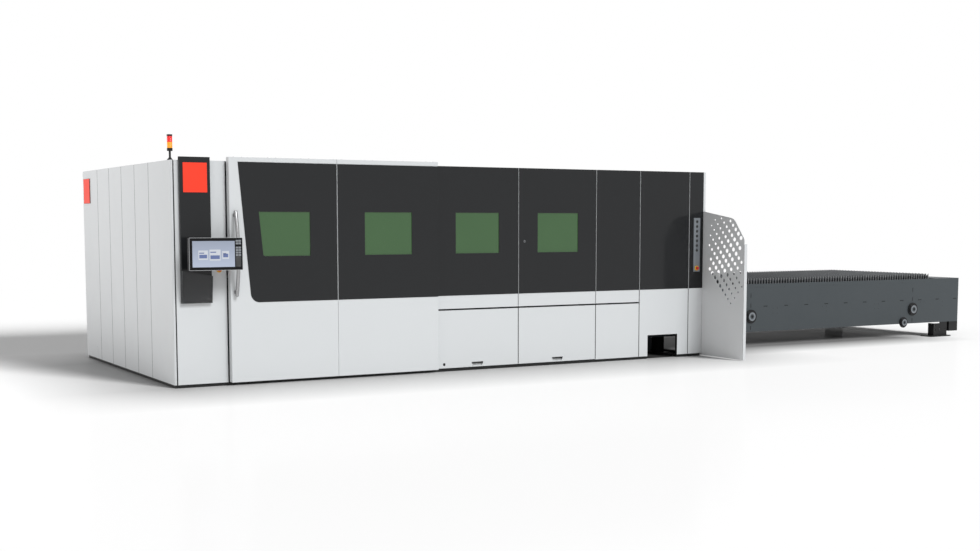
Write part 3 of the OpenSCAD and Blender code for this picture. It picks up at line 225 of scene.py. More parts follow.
# Sprayed coats: linear colours, gloss range, peel size and how much floor grime shows
coatBase = {"cloud": 0.9, "smear": 2.2, "bumpDeep": 0.6 * mm, "grimeReach": 0.32}
coatLooks = {
    "whitePaint": {"tone": (0.628, 0.640, 0.648), "shade": (0.608, 0.620, 0.628), "gloss": (0.36, 0.46),
                   "sheen": 0.45, "peel": 380.0, "bump": 0.05, "grime": 0.02, "dirt": (0.48, 0.48, 0.47)},
    "darkPaint": {"tone": (0.0150, 0.0157, 0.0168), "shade": (0.0134, 0.0140, 0.0151),
                  "gloss": (0.10, 0.16), "sheen": 0.25, "peel": 520.0, "bump": 0.01},
    "housingPlastic": {"tone": (0.0080, 0.0080, 0.0088), "shade": (0.0060, 0.0060, 0.0068),
                       "gloss": (0.34, 0.44), "sheen": 0.10, "peel": 700.0, "bump": 0.02},
    # Dark paint inside the scrap outlet and on the end wall's inner face: painted shade in the recess
    "insidePaintedShade": {"tone": (0.0090, 0.0095, 0.0100), "shade": (0.0070, 0.0074, 0.0078),
                    "gloss": (0.50, 0.62), "sheen": 0.30, "peel": 520.0, "bump": 0.05},
    "blackPaint": {"tone": (0.0065, 0.0068, 0.0072), "shade": (0.0045, 0.0047, 0.0050),
                   "gloss": (0.42, 0.56), "sheen": 0.30, "peel": 520.0, "bump": 0.08,
                   "grime": 0.25, "dirt": (0.04, 0.039, 0.037)},
    "slatePaint": {"tone": (0.0510, 0.0600, 0.0655), "shade": (0.0440, 0.0525, 0.0580),
                   "gloss": (0.46, 0.58), "sheen": 0.35, "peel": 460.0, "bump": 0.09,
                   "grime": 0.20, "dirt": (0.12, 0.115, 0.11)},
    "accentPaint": {"tone": (0.930, 0.0480, 0.0180), "shade": (0.890, 0.0430, 0.0160),
                    "gloss": (0.40, 0.48), "sheen": 0.30, "peel": 600.0, "bump": 0.03},
    # Lighter copy of the white paint on the guard wing: painted light on its shaded side
    "wingPaintedLight": {"tone": (0.680, 0.685, 0.690), "shade": (0.660, 0.665, 0.670),
                  "gloss": (0.36, 0.46), "sheen": 0.42, "peel": 420.0, "bump": 0.05},
    # Darker copy of the accent paint: painted shade on the side plate's edge
    "accentShadedEdge": {"tone": (0.090, 0.0100, 0.0060), "shade": (0.080, 0.0090, 0.0050),
                   "gloss": (0.40, 0.48), "sheen": 0.30, "peel": 600.0, "bump": 0.03},
    "stripCoat": {"tone": (0.200, 0.215, 0.232), "shade": (0.175, 0.190, 0.206),
                  "gloss": (0.34, 0.44), "sheen": 0.40, "peel": 700.0, "bump": 0.04},
    "cabinetCoat": {"tone": (0.500, 0.515, 0.520), "shade": (0.460, 0.475, 0.480), "gloss": (0.42, 0.52),
                    "sheen": 0.45, "peel": 380.0, "bump": 0.07, "grime": 0.35, "dirt": (0.22, 0.21, 0.20)},
}

# Moulded plastics and rubber, with a finer peel
plasticBase = {"cloud": 14.0, "smear": 18.0, "sheen": 0.45, "peel": 900.0, "bump": 0.06,
               "bumpDeep": 0.4 * mm}
plasticLooks = {
    "buttonPlastic": {"tone": (0.020, 0.021, 0.022), "shade": (0.014, 0.015, 0.016), "gloss": (0.34, 0.46)},
    "stopPlastic": {"tone": (0.600, 0.030, 0.018), "shade": (0.520, 0.022, 0.014), "gloss": (0.24, 0.34)},
    "basePlastic": {"tone": (0.780, 0.430, 0.020), "shade": (0.700, 0.370, 0.016), "gloss": (0.30, 0.42)},
    "rollerPlastic": {"tone": (0.036, 0.036, 0.037), "shade": (0.026, 0.026, 0.027), "gloss": (0.42, 0.56)},
    "beltRubber": {"tone": (0.018, 0.018, 0.018), "shade": (0.030, 0.028, 0.026), "gloss": (0.62, 0.82)},
    "sealRubber": {"tone": (0.010, 0.010, 0.010), "shade": (0.016, 0.016, 0.016), "gloss": (0.55, 0.70)},
    "keyPlastic": {"tone": (0.220, 0.232, 0.250), "shade": (0.190, 0.202, 0.220), "gloss": (0.38, 0.48)},
}


def buildCoat(name, look):
    material, tree, shader = newMaterial(name, {"Metallic": 0.0, "Specular IOR Level": look["sheen"]})
    coat = addEffect(tree, sprayCoat, Peel_Scale=look["peel"], Cloud_Scale=look["cloud"])
    smear = addEffect(tree, handSmear, Scale=look["smear"])
    colour = mixColours(tree, coat["Cloud"], look["tone"], look["shade"])
    if "grime" in look:
        grime = addEffect(tree, floorGrime, Reach=look["grimeReach"], Amount=look["grime"])
        colour = mixColours(tree, grime["Mask"], colour, look["dirt"])
    feed(tree, shader.inputs["Base Color"], colour)
    addGloss(tree, shader, smear["Smear"], look["gloss"])
    addBump(tree, shader, coat["Peel"], look["bump"], look["bumpDeep"])
    return material


# Bare metals: colour pair, gloss range and the direction of the drawn lines
metalLooks = {
    "brushedSteel": {"tone": (0.60, 0.61, 0.62), "shade": (0.46, 0.47, 0.48), "gloss": (0.22, 0.38),
                     "lines": (160.0, 160.0, 6.0), "bump": 0.06},
    "handleSteel": {"tone": (0.40, 0.40, 0.405), "shade": (0.30, 0.30, 0.305), "gloss": (0.24, 0.34),
                    "lines": (160.0, 160.0, 6.0), "bump": 0.06},
    "rodSteel": {"tone": (0.42, 0.43, 0.44), "shade": (0.30, 0.31, 0.32), "gloss": (0.26, 0.42),
                 "lines": (220.0, 6.0, 220.0), "bump": 0.05},
    "groundSteel": {"tone": (0.44, 0.45, 0.46), "shade": (0.34, 0.35, 0.36), "gloss": (0.30, 0.45),
                    "lines": (6.0, 240.0, 240.0), "bump": 0.05},
}
lineSpan = (0.25, 0.75)  # the part of the drawn lines' range that changes the gloss
lineDeep = 0.3 * mm


def addLines(tree, look):
    x, y, z = look["lines"]
    return addEffect(tree, drawnGrain, Along_X=x, Along_Y=y, Along_Z=z)["Lines"]


def buildMetal(name, look):
    material, tree, shader = newMaterial(name, {"Metallic": 1.0})
    lines = addLines(tree, look)
    feed(tree, shader.inputs["Base Color"], mixColours(tree, lines, look["shade"], look["tone"]))
    addGloss(tree, shader, lines, look["gloss"], *lineSpan)
    addBump(tree, shader, lines, look["bump"], lineDeep)
    return material


# Laser-safety glass: nearly opaque green sheet with faint dust specks
glassLook = {"tone": (0.047, 0.116, 0.040), "shade": (0.041, 0.105, 0.035), "speck": (0.056, 0.128, 0.050),
             "gloss": (0.16, 0.26), "bend": 1.49, "clear": 0.12, "smear": 5.0, "peel": 90.0, "cloud": 1.6,
             "specks": (0.66, 0.74)}


def buildSafetyGlass():
    material, tree, shader = newMaterial("safetyGlass", {
        "Metallic": 0.0, "IOR": glassLook["bend"], "Transmission Weight": glassLook["clear"]})
    smear = addEffect(tree, handSmear, Scale=glassLook["smear"])
    coat = addEffect(tree, sprayCoat, Peel_Scale=glassLook["peel"], Cloud_Scale=glassLook["cloud"])
    tone = mixColours(tree, coat["Cloud"], glassLook["tone"], glassLook["shade"])
    specks = ramp(tree, coat["Peel"], *glassLook["specks"])
    feed(tree, shader.inputs["Base Color"], mixColours(tree, specks, tone, glassLook["speck"]))
    addGloss(tree, shader, smear["Smear"], glassLook["gloss"])
    return material


# Lit faces: lenses of the signal light and plain tiles of the desktop on the screen
lensBase = {"smear": 30.0, "clear": 0.15, "strength": 0.35, "fade": (0.86, 0.8), "gloss": (0.14, 0.24)}
tileBase = {"smear": 12.0, "clear": 0.0, "fade": (0.95, 0.95), "gloss": (0.12, 0.22)}
litLooks = {
    "lensRed": {**lensBase, "tone": (0.75, 0.012, 0.010), "glow": (0.80, 0.010, 0.008)},
    "lensAmber": {**lensBase, "tone": (0.90, 0.36, 0.012), "glow": (0.85, 0.33, 0.008)},
    "cardWhite": {**tileBase, "tone": (0.50, 0.52, 0.56), "glow": (0.50, 0.52, 0.56), "strength": 0.12},
    "barBlue": {**tileBase, "tone": (0.105, 0.140, 0.290), "glow": (0.105, 0.140, 0.290), "strength": 0.10},
}


def buildLit(name, look):
    material, tree, shader = newMaterial(name, {
        "Metallic": 0.0, "Transmission Weight": look["clear"], "Emission Strength": look["strength"]})
    smear = addEffect(tree, handSmear, Scale=look["smear"])["Smear"]
    for title, key, share in zip(("Base Color", "Emission Color"), ("tone", "glow"), look["fade"]):
        faded = tuple(share * part for part in look[key])
        feed(tree, shader.inputs[title], mixColours(tree, smear, look[key], faded))
    addGloss(tree, shader, smear, look["gloss"])
    return material


# Mill-scale slats: the root darkened as painted shade between the slats, the spattered crest lighter
# towards the tips, partly from wear and partly as painted light
slatLook = {"side": (0.040, 0.042, 0.045), "crest": (0.320, 0.330, 0.340),
            "spatter": (0.400, 0.396, 0.392), "end": (0.420, 0.430, 0.440),
            "sideWorn": (0.060, 0.063, 0.0675), "endLong": 18 * mm, "endSharp": 0.8, "crestFrom": 0.62,
            "gloss": (0.48, 0.70), "lines": (40.0, 14.0, 60.0), "peel": 260.0, "cloud": 3.0,
            "drops": (0.60, 0.68), "bump": 0.25, "bumpDeep": 1 * mm}


def buildSlatSteel(name, low, high):  # corners of the slats' box
    material, tree, shader = newMaterial(name, {"Metallic": 0.35, "Specular IOR Level": 0.4})
    axes = splitAxes(tree, ownSpot(tree))
    middle, reach, end = (low.y + high.y) / 2, (high.y - low.y) / 2, slatLook["endLong"]
    # Height mask: painted shade at the root between the slats, lighter towards the tips from wear and
    # painted light
    rise = ramp(tree, axes["Z"], low.z + slatLook["crestFrom"] * (high.z - low.z), high.z)
    away = calculate(tree, "ABSOLUTE", calculate(tree, "SUBTRACT", axes["Y"], middle))
    bare = ramp(tree, away, reach - end, reach - slatLook["endSharp"] * end)
    lines = addLines(tree, slatLook)
    peel = addEffect(tree, sprayCoat, Peel_Scale=slatLook["peel"], Cloud_Scale=slatLook["cloud"])["Peel"]
    side = mixColours(tree, lines, slatLook["side"], slatLook["sideWorn"])
    paintedShadeAndWear = mixColours(tree, rise, side, slatLook["crest"])
    spotted = mixColours(tree, ramp(tree, peel, *slatLook["drops"]), paintedShadeAndWear, slatLook["spatter"])
    feed(tree, shader.inputs["Base Color"], mixColours(tree, bare, spotted, slatLook["end"]))
    addGloss(tree, shader, lines, slatLook["gloss"], *lineSpan)
    addBump(tree, shader, peel, slatLook["bump"], slatLook["bumpDeep"])
    return material


# Glass face of the control panel, a soft blue-grey desktop
screenLook = {"low": (0.36, 0.40, 0.50), "high": (0.25, 0.28, 0.35), "strength": 0.16, "smear": 9.0,
              "gloss": (0.08, 0.18)}


def buildScreenGlass():
    material, tree, shader = newMaterial(
        "screenGlass", {"Metallic": 0.0, "Emission Strength": screenLook["strength"]})
    low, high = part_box("hmi_screen")
    rise = ramp(tree, splitAxes(tree, ownSpot(tree))["Z"], low.z, high.z)
    colour = mixColours(tree, rise, screenLook["low"], screenLook["high"])
    feed(tree, shader.inputs["Base Color"], colour)
    feed(tree, shader.inputs["Emission Color"], colour)
    smear = addEffect(tree, handSmear, Scale=screenLook["smear"])
    addGloss(tree, shader, smear["Smear"], screenLook["gloss"])
    return material


looks = {name: buildCoat(name, {**coatBase, **look}) for name, look in coatLooks.items()}
looks.update({name: buildMetal(name, look) for name, look in metalLooks.items()})
looks.update({name: buildCoat(name, {**plasticBase, **look}) for name, look in plasticLooks.items()})
looks["safetyGlass"] = buildSafetyGlass()
looks["screenGlass"] = buildScreenGlass()
looks.update({name: buildLit(name, look) for name, look in litLooks.items()})
print("materials:", len(looks), "finishes")

# Finish of every CAD node
buttonNodes = ["strip_button_%d" % number for number in range(1, 8)]
nodeLooks = {
    "whitePaint": ["left_wall_panels", "front_panels", "roof_panels", "rear_wall_panels", "end_wall",
                   "partition_wall", "guard_wing", "door_leaf", "flap_left", "flap_right", "gantry_beam"],
    "darkPaint": ["front_dark_plates", "door_dark_plates", "operator_column", "carriage"],
    "blackPaint": ["base_plinth", "front_frame", "signal_mast", "changer_legs"],
    "slatePaint": ["entry_shutter", "machine_frame", "conveyor_frame", "lift_cradle", "scrap_bin",
                   "outer_pallet_frame", "inner_pallet_frame", "changer_frame"],
    "accentPaint": ["accent_plates"],
    "stripCoat": ["button_strip"],
    "cabinetCoat": ["control_cabinets"],
    "brushedSteel": ["cutting_head"],
    "handleSteel": ["door_handle"],
    "rodSteel": ["outer_wheelset_left", "outer_wheelset_right", "inner_wheelset_left",
                 "inner_wheelset_right", "conveyor_drive_drum", "conveyor_tail_drum"],
    "groundSteel": ["door_track"],
    "safetyGlass": ["fixed_windows", "door_windows"],
    "lensRed": ["signal_red_lens"],
    "lensAmber": ["signal_amber_lens"],
    "screenGlass": ["hmi_screen"],
    "housingPlastic": ["hmi_housing"],
    "buttonPlastic": buttonNodes,
    "stopPlastic": ["column_stop_button", "strip_stop_button"],
    "basePlastic": ["stop_bases"],
    "rollerPlastic": ["door_roller_left", "door_roller_right"],
    "beltRubber": ["conveyor_belt"],
}
for look, names in nodeLooks.items():
    for name in names:
        nodes[name].data.materials.clear()
        nodes[name].data.materials.append(looks[look])
print("nodes: finishes set")


# Mesh helpers: each fills a bmesh in the frame's metres
def addBox(bm, low, high, bevel=0.0):
    made = bmesh.ops.create_cube(bm, size=1.0)["verts"]
    size = Vector(high) - Vector(low)
    middle = (Vector(high) + Vector(low)) / 2
    for vert in made:
        vert.co = middle + Vector((vert.co.x * size.x, vert.co.y * size.y, vert.co.z * size.z))
    if bevel > 0:
        edges = list({edge for vert in made for edge in vert.link_edges})
        bmesh.ops.bevel(bm, geom=edges, offset=bevel, segments=2, profile=0.5, affect="EDGES")


def addPrism(bm, outline, push, toWorld):
    base = [bm.verts.new(toWorld(*point)) for point in outline]
    face = bm.faces.new(base)
    top = bmesh.ops.extrude_face_region(bm, geom=[face])["geom"]
    for part in top:
        if isinstance(part, bmesh.types.BMVert):
            part.co += push


def addTurned(bm, profile, centre, axis, steps):
    axis = Vector(axis).normalized()
    turn = axis.to_track_quat("Z", "Y").to_matrix()
    rings = []
    for radius, along in profile:
        if radius < 1e-6:
            rings.append([bm.verts.new(Vector(centre) + axis * along)])
            continue
        ring = []
        for step in range(steps):
            angle = 2 * math.pi * step / steps
            ring.append(bm.verts.new(
                Vector(centre) + axis * along
                + turn @ Vector((radius * math.cos(angle), radius * math.sin(angle), 0))))
        rings.append(ring)
    for first, second in zip(rings, rings[1:]):
        for step in range(steps):
            corners = [first[step % len(first)], first[(step + 1) % len(first)],
                       second[(step + 1) % len(second)], second[step % len(second)]]
            bm.faces.new(list(dict.fromkeys(corners)))  # a point at a pole comes once


smoothBelow = math.radians(35.0)  # sharper edges stay sharp


def makePiece(name, fill, body, look):
    bm = bmesh.new()
    fill(bm)
    bmesh.ops.recalc_face_normals(bm, faces=bm.faces)
    mesh = bpy.data.meshes.new(name)
    bm.to_mesh(mesh)
    bm.free()
    mesh.materials.append(looks[look])
    mesh.shade_smooth()
    mesh.set_sharp_from_angle(angle=smoothBelow)
    piece = bpy.data.objects.new(name, mesh)
    bpy.context.scene.collection.objects.link(piece)
    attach(piece, body)
    return piece


# Part of a node in another finish, chosen by where its faces lie
def paintFaces(name, look, chosen):
    mesh = nodes[name].data
    mesh.materials.append(looks[look])
    index = len(mesh.materials) - 1
    for face in mesh.polygons:
        if chosen(face.center, face.normal):
            face.material_index = index


# Serrated slats of both pallets, with the teeth of the real ones and a spike at each end
slatSizes = {"pitch": 50.75 * mm, "thick": 4 * mm, "toothPitch": 65 * mm, "toothDepth": 34 * mm,
             "tipFlat": 3 * mm}


def slatOutline(span, height):
    count = round(span / slatSizes["toothPitch"])
    step = span / count
    half = slatSizes["tipFlat"] / 2
    valley = height - slatSizes["toothDepth"]
    points = [(0, 0), (0, height), (2 * half, height), (step / 2, valley)]
    for tooth in range(1, count):
        points += [(tooth * step - half, height), (tooth * step + half, height),
                   ((tooth + 0.5) * step, valley)]
    return points + [(span - 2 * half, height), (span, height), (span, 0)]


def buildSlats(name, node):
    low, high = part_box(node)
    count = round((high.x - low.x - slatSizes["thick"]) / slatSizes["pitch"]) + 1
    outline = slatOutline(high.y - low.y, high.z - low.z)

    def fill(bm):
        for index in range(count):
            x = low.x + index * slatSizes["pitch"]
            addPrism(bm, outline, Vector((slatSizes["thick"], 0, 0)),
                     lambda along, rise: Vector((x, low.y + along, low.z + rise)))

    steel = name + "Steel"
    looks[steel] = buildSlatSteel(steel, low, high)
    piece = makePiece(name, fill, bodyOf[node], steel)
    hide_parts(node)


buildSlats("outerSlatComb", "outer_slats")
buildSlats("innerSlatComb", "inner_slats")
print("slats: fine teeth on both pallets")


# Rounded outlines, as lists of flat points
def arc(centre, radius, start, stop, steps=8):
    points = []
    for step in range(steps + 1):
        angle = math.radians(start + (stop - start) * step / steps)
        points.append((centre[0] + radius * math.cos(angle), centre[1] + radius * math.sin(angle)))
    return points


def roundedOutline(left, low, right, high, radii):
    a, b, c, d = radii  # lower left, lower right, upper right, upper left
    return (arc((left + a, low + a), a, 180, 270) + arc((right - b, low + b), b, 270, 360)
            + arc((right - c, high - c), c, 0, 90) + arc((left + d, high - d), d, 90, 180))


def addRing(bm, outer, inner, push, toWorld):
    loops = []
    for outline in (outer, inner):
        near = [bm.verts.new(toWorld(*point)) for point in outline]
        far = [bm.verts.new(toWorld(*point) + push) for point in outline]
        loops.append((near, far))
    (outNear, outFar), (inNear, inFar) = loops
    count = len(outer)
    for step in range(count):
        after = (step + 1) % count
        bm.faces.new((outNear[step], outNear[after], inNear[after], inNear[step]))
        bm.faces.new((outFar[step], inFar[step], inFar[after], outFar[after]))
        bm.faces.new((outNear[step], outFar[step], outFar[after], outNear[after]))
        bm.faces.new((inNear[step], inNear[after], inFar[after], inFar[step]))


def onFront(y):
    return lambda x, z: Vector((x, y, z))


# Turned profiles from shares of a radius and of a depth
def profileOf(shares, radius, deep):
    return [(radius * out, deep * along) for out, along in shares]


screwShares = {"head": [(0.45, 0.55), (0.5, 0.9), (0.8, 0.8), (1, 0.35), (1, 0)],
               "socket": [(0, 0.55), (0.45, 0.55)]}


def headScrew(bm, centre, axis, radius, proud):
    addTurned(bm, profileOf(screwShares["head"], radius, proud), centre, axis, steps=16)
    addTurned(bm, profileOf(screwShares["socket"], radius, proud), centre, axis, steps=6)  # hexagon


# Window seals: a thin dark lip inside each cut-out
# The door's first window leans and has one round corner
sealSizes = {"lip": 1.6 * mm, "proud": 0.4 * mm, "corner": 3 * mm, "roundCorner": 26 * mm, "lean": 46 * mm,
             "lap": 25 * mm, "wide": 592 * mm, "air": 0.3 * mm}


def windowBoxes():
    lap, wide = sealSizes["lap"], sealSizes["wide"]  # the lap is the pane's hidden edge
    found = []
    for node in ("door_windows", "fixed_windows"):
        low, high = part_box(node)
        for left in (low.x + lap, high.x - lap - wide):
            found.append((node, left, low.z + lap, left + wide, high.z - lap))
    return found


def leaningOutline(left, low, right, high, inset):
    tilt = math.atan2(sealSizes["lean"], high - low)
    corner = sealSizes["roundCorner"] - inset
    foot = left + sealSizes["lean"] + inset * (1 - math.sin(tilt)) / math.cos(tilt)
    top = left + inset * (1 + math.sin(tilt)) / math.cos(tilt)
    middle = (foot + corner * (1 - math.sin(tilt)) / math.cos(tilt), low + inset + corner)
    lower = arc(middle, corner, 180 + math.degrees(tilt), 270, 10)
    return lower + [(right - inset, low + inset), (right - inset, high - inset), (top, high - inset)]


def buildWindowSeals():
    for index, (node, left, low, right, high) in enumerate(windowBoxes()):
        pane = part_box(node)[0].y
        outside = plateLow.y if node == "door_windows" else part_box("front_dark_plates")[0].y
        front = outside - sealSizes["proud"]
        lip = sealSizes["lip"]
        if index == 0:
            outer, inner = (leaningOutline(left, low, right, high, inset)
                            for inset in (sealSizes["air"], lip))
        else:
            corners = [sealSizes["corner"]] * 4
            outer = roundedOutline(left, low, right, high, corners)
            inner = roundedOutline(left + lip, low + lip, right - lip, high - lip, corners)
        makePiece("windowSeal%d" % (index + 1),
                  lambda bm: addRing(bm, outer, inner, Vector((0, pane - front, 0)), onFront(front)),
                  bodyOf[node], "sealRubber")


buildWindowSeals()
print("windows: seals")

# Flaps: dark hinge line, grip cups with painted shade in their upper half, lock on the left one
gripSizes = {"wide": 164 * mm, "tall": 42 * mm, "low": 56 * mm, "deep": 20 * mm, "lean": 18 * mm,
             "rim": 5 * mm, "proud": 1.5 * mm, "lip": 21 * mm, "shadeIn": 8 * mm, "shadeBack": 2 * mm,
             "air": 0.5 * mm, "hinge": 15 * mm}


def gripOutline(middle, grow):
    half = gripSizes["wide"] / 2 + grow
    low = gripSizes["low"] - grow
    high = gripSizes["low"] + gripSizes["tall"] + grow
    lean = gripSizes["lean"]
    return [(middle - half, high), (middle - half + lean, low),
            (middle + half - lean, low), (middle + half, high)]


def buildFlapDetail(node, name):
    low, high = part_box(node)
    body = bodyOf[node]
    hingeLine = high.z - gripSizes["hinge"]
    paintFaces(node, "blackPaint", lambda centre, normal: centre.z > hingeLine)
    middle = (low.x + high.x) / 2
    front = low.y - gripSizes["proud"]

    def fillRim(bm):
        addRing(bm, gripOutline(middle, gripSizes["rim"]), gripOutline(middle, -gripSizes["air"]),
                Vector((0, gripSizes["proud"], 0)), onFront(front))

    # Painted shade: a dark rubber box in the cup's upper half
    def fillShade(bm):
        top = gripSizes["low"] + gripSizes["tall"] - gripSizes["air"]
        half = gripSizes["wide"] / 2 - gripSizes["shadeIn"]
        addBox(bm, (middle - half, low.y + gripSizes["shadeBack"], top - gripSizes["lip"]),
               (middle + half, low.y + gripSizes["deep"], top), bevel=2 * mm)

    makePiece(name + "GripRim", fillRim, body, "whitePaint")
    makePiece(name + "GripPaintedShade", fillShade, body, "sealRubber")


buildFlapDetail("flap_left", "leftFlap")
buildFlapDetail("flap_right", "rightFlap")

lockSizes = {"radius": 12.5 * mm, "flapRadius": 17 * mm, "proud": 3 * mm,
             "slotWide": 14 * mm, "slotTall": 3 * mm,
             "flapLock": (115.5 * mm, 85 * mm), "panelLock": (82.5 * mm, 1521 * mm)}
lockShares = {"cap": [(0, 0.6), (0.55, 0.6), (0.6, 1.0), (0.92, 0.9), (1.0, 0.4), (1.0, 0)],
              "ring": [(0.8, 0), (0.8, 1.0), (1.0, 0.8), (1.0, 0)],
              "core": [(0, 0.5), (0.8, 0.5)]}


def buildLocks():
    radius, proud = lockSizes["radius"], lockSizes["proud"]
    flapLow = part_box("flap_left")[0]
    spot = Vector((flapLow.x + lockSizes["flapLock"][0], flapLow.y, lockSizes["flapLock"][1]))
    profile = profileOf(lockShares["cap"], lockSizes["flapRadius"], proud)
    makePiece("flapLock", lambda bm: addTurned(bm, profile, spot, outFront, steps=24), bodyOf["flap_left"],
              "sealRubber")
    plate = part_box("front_dark_plates")[0]
    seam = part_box("flap_right")[0].x
    seat = Vector((seam + lockSizes["panelLock"][0], plate.y, lockSizes["panelLock"][1]))

    def fillRing(bm):
        addTurned(bm, profileOf(lockShares["ring"], radius, proud), seat, outFront, steps=24)

    def fillCore(bm):
        addTurned(bm, profileOf(lockShares["core"], radius, proud), seat, outFront, steps=24)
        half = lockSizes["slotWide"] / 2
        addBox(bm, seat + Vector((-half, -proud, -lockSizes["slotTall"] / 2)),
               seat + Vector((half, -proud * 0.4, lockSizes["slotTall"] / 2)), bevel=0.4 * mm)

    makePiece("panelLockRing", fillRing, "cabin", "rodSteel")
    makePiece("panelLockCore", fillCore, "cabin", "buttonPlastic")


buildLocks()
print("flaps: hinge line, grips and locks")

# Door: round ends and rosettes of the bow handle, cap screws along the top edge
doorSizes = {"tube": 19 * mm, "bow": 70 * mm, "off": 36 * mm, "half": 448.5 * mm, "postIn": 40 * mm,
             "bore": 13.3 * mm, "rosette": 23 * mm, "rosetteFlat": 19.78 * mm, "rosetteThick": 4 * mm,
             "dome": 9 * mm, "screw": 7 * mm, "screwProud": 4 * mm, "screwBack": 14 * mm, "screwPairs": 7,
             "pairGap": 90 * mm, "endGap": 60 * mm}
domeShares = [(1, 0), (0.93, 0.45), (0.7, 0.8), (0.35, 0.96), (0, 1)]


def buildDoorDetail():
    low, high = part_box("door_handle")
    x, z = (low.x + high.x) / 2, (low.z + high.z) / 2
    half, tube, dome = doorSizes["half"], doorSizes["tube"], doorSizes["dome"]
    turn = 2 * math.atan2(doorSizes["bow"], half)

    def fillHandle(bm):
        bore, thick = doorSizes["bore"], doorSizes["rosetteThick"]
        edge, flat = doorSizes["rosette"], doorSizes["rosetteFlat"]
        for side in (-1, 1):
            spot = (x, high.y, z + side * (half - doorSizes["postIn"]))
            addTurned(bm, [(bore, 0), (bore, thick), (flat, thick), (edge, thick * 0.5), (edge, 0)],
                      spot, outFront, steps=40)
            end = (x, high.y - doorSizes["off"], z + side * half)
            addTurned(bm, profileOf(domeShares, tube, dome), end,
                      (0, math.sin(turn), side * math.cos(turn)), steps=40)

    def fillScrews(bm):
        pairs, gap = doorSizes["screwPairs"], doorSizes["pairGap"]
        first, last = doorLow.x + doorSizes["endGap"], doorHigh.x - doorSizes["endGap"] - gap
        for pair in range(pairs):
            x = first + (last - first) * pair / (pairs - 1)
            for shift in (0, gap):
                headScrew(bm, (x + shift, doorLow.y + doorSizes["screwBack"], doorHigh.z), (0, 0, 1),
                          doorSizes["screw"], doorSizes["screwProud"])

    makePiece("handleEnds", fillHandle, "door", "handleSteel")
    makePiece("doorTopScrews", fillScrews, "door", "brushedSteel")


buildDoorDetail()
print("door: handle ends and screws")

# Control panel: bright rim, desktop tiles on the screen, key column
screenLow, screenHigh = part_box("hmi_screen")
panelSizes = {"rim": 3 * mm, "rimProud": 1.5 * mm, "corner": 9 * mm, "tile": 0.5 * mm, "keyIn": 76 * mm,
              "keyTop": 25 * mm, "keyWide": 27 * mm, "keyTall": 20 * mm, "keyPitch": 26 * mm,
              "keyBreak": 18 * mm, "keyGap": 3 * mm, "keyProud": 1.5 * mm, "keyRound": 1.2 * mm,
              "padLow": 36 * mm, "keyRows": 6}
screenCards = [(0.14, 0.28, 0.22), (0.40, 0.25, 0.26), (0.70, 0.31, 0.16)]  # left, low edge, width
cardSizes = {"ends": 0.92, "margin": 0.02, "field": (0.06, 0.2), "title": (0.80, 0.84), "titleWide": 0.6,
             "lift": 1.5}  # shares of the screen


def screenRect(bm, left, low, right, high, lift):
    wide, tall = screenHigh.x - screenLow.x, screenHigh.z - screenLow.z
    addBox(bm, (screenLow.x + left * wide, screenLow.y - lift, screenLow.z + low * tall),
           (screenLow.x + right * wide, screenLow.y, screenLow.z + high * tall))


def buildControlPanel():
    rim, corner = panelSizes["rim"], panelSizes["corner"]
    outer = roundedOutline(panelLow.x, panelLow.z, panelHigh.x, panelHigh.z, [corner] * 4)
    inner = roundedOutline(panelLow.x + rim, panelLow.z + rim, panelHigh.x - rim, panelHigh.z - rim,
                           [corner - rim / 2] * 4)
    proud, tile = panelSizes["rimProud"], panelSizes["tile"]
    makePiece("panelRim",
              lambda bm: addRing(bm, outer, inner, Vector((0, proud, 0)), onFront(panelLow.y - proud)),
              "control_panel", "brushedSteel")

    def fillCards(bm):
        for left, low, wide in screenCards:
            screenRect(bm, left, low, left + wide, cardSizes["ends"] - low, tile)

    def fillBars(bm):
        margin, field, title = cardSizes["margin"], cardSizes["field"], cardSizes["title"]
        lift = tile * cardSizes["lift"]
        for left, low, wide in screenCards:
            screenRect(bm, left + margin, low + field[0], left + wide - margin, low + field[1], lift)
            screenRect(bm, left + margin, title[0] - low, left + wide * cardSizes["titleWide"],
                       title[1] - low, lift)

    makePiece("screenCards", fillCards, "control_panel", "cardWhite")
    makePiece("screenBars", fillBars, "control_panel", "barBlue")

    keyX = panelHigh.x - panelSizes["keyIn"]
    keyWide, keyTall, keyGap = panelSizes["keyWide"], panelSizes["keyTall"], panelSizes["keyGap"]
    front, bend = panelLow.y - panelSizes["keyProud"], panelSizes["keyRound"]
    rowTops = [panelHigh.z - panelSizes["keyTop"] - row * panelSizes["keyPitch"]
               - (panelSizes["keyBreak"] if row > 1 else 0) for row in range(panelSizes["keyRows"])]

    def fillKeys(bm):
        for top in rowTops:
            for column in range(2):
                left = keyX + column * (keyWide + keyGap)
                addBox(bm, (left, front, top - keyTall), (left + keyWide, panelLow.y, top), bevel=bend)

    def fillPad(bm):
        addBox(bm, (keyX, front, panelLow.z + panelSizes["padLow"]),
               (keyX + 2 * keyWide + keyGap, panelLow.y, rowTops[-1] - keyTall - keyGap), bevel=bend)

    makePiece("panelKeys", fillKeys, "control_panel", "keyPlastic")
    makePiece("panelPad", fillPad, "control_panel", "rollerPlastic")


buildControlPanel()
print("control panel: rim, screen and keys")

# Button strip: a bezel round every button, collars under the stop caps
bezelSizes = {"gap": 0.8 * mm, "wide": 4 * mm, "proud": 2 * mm,
              "shares": [(0, 0), (0, 1), (0.7, 1), (1, 0.5), (1, 0)]}
collarSizes = {"seat": 11 * mm,
               "profile": [(13 * mm, 0), (13 * mm, 3 * mm), (16 * mm, 3 * mm), (18 * mm, 0)]}


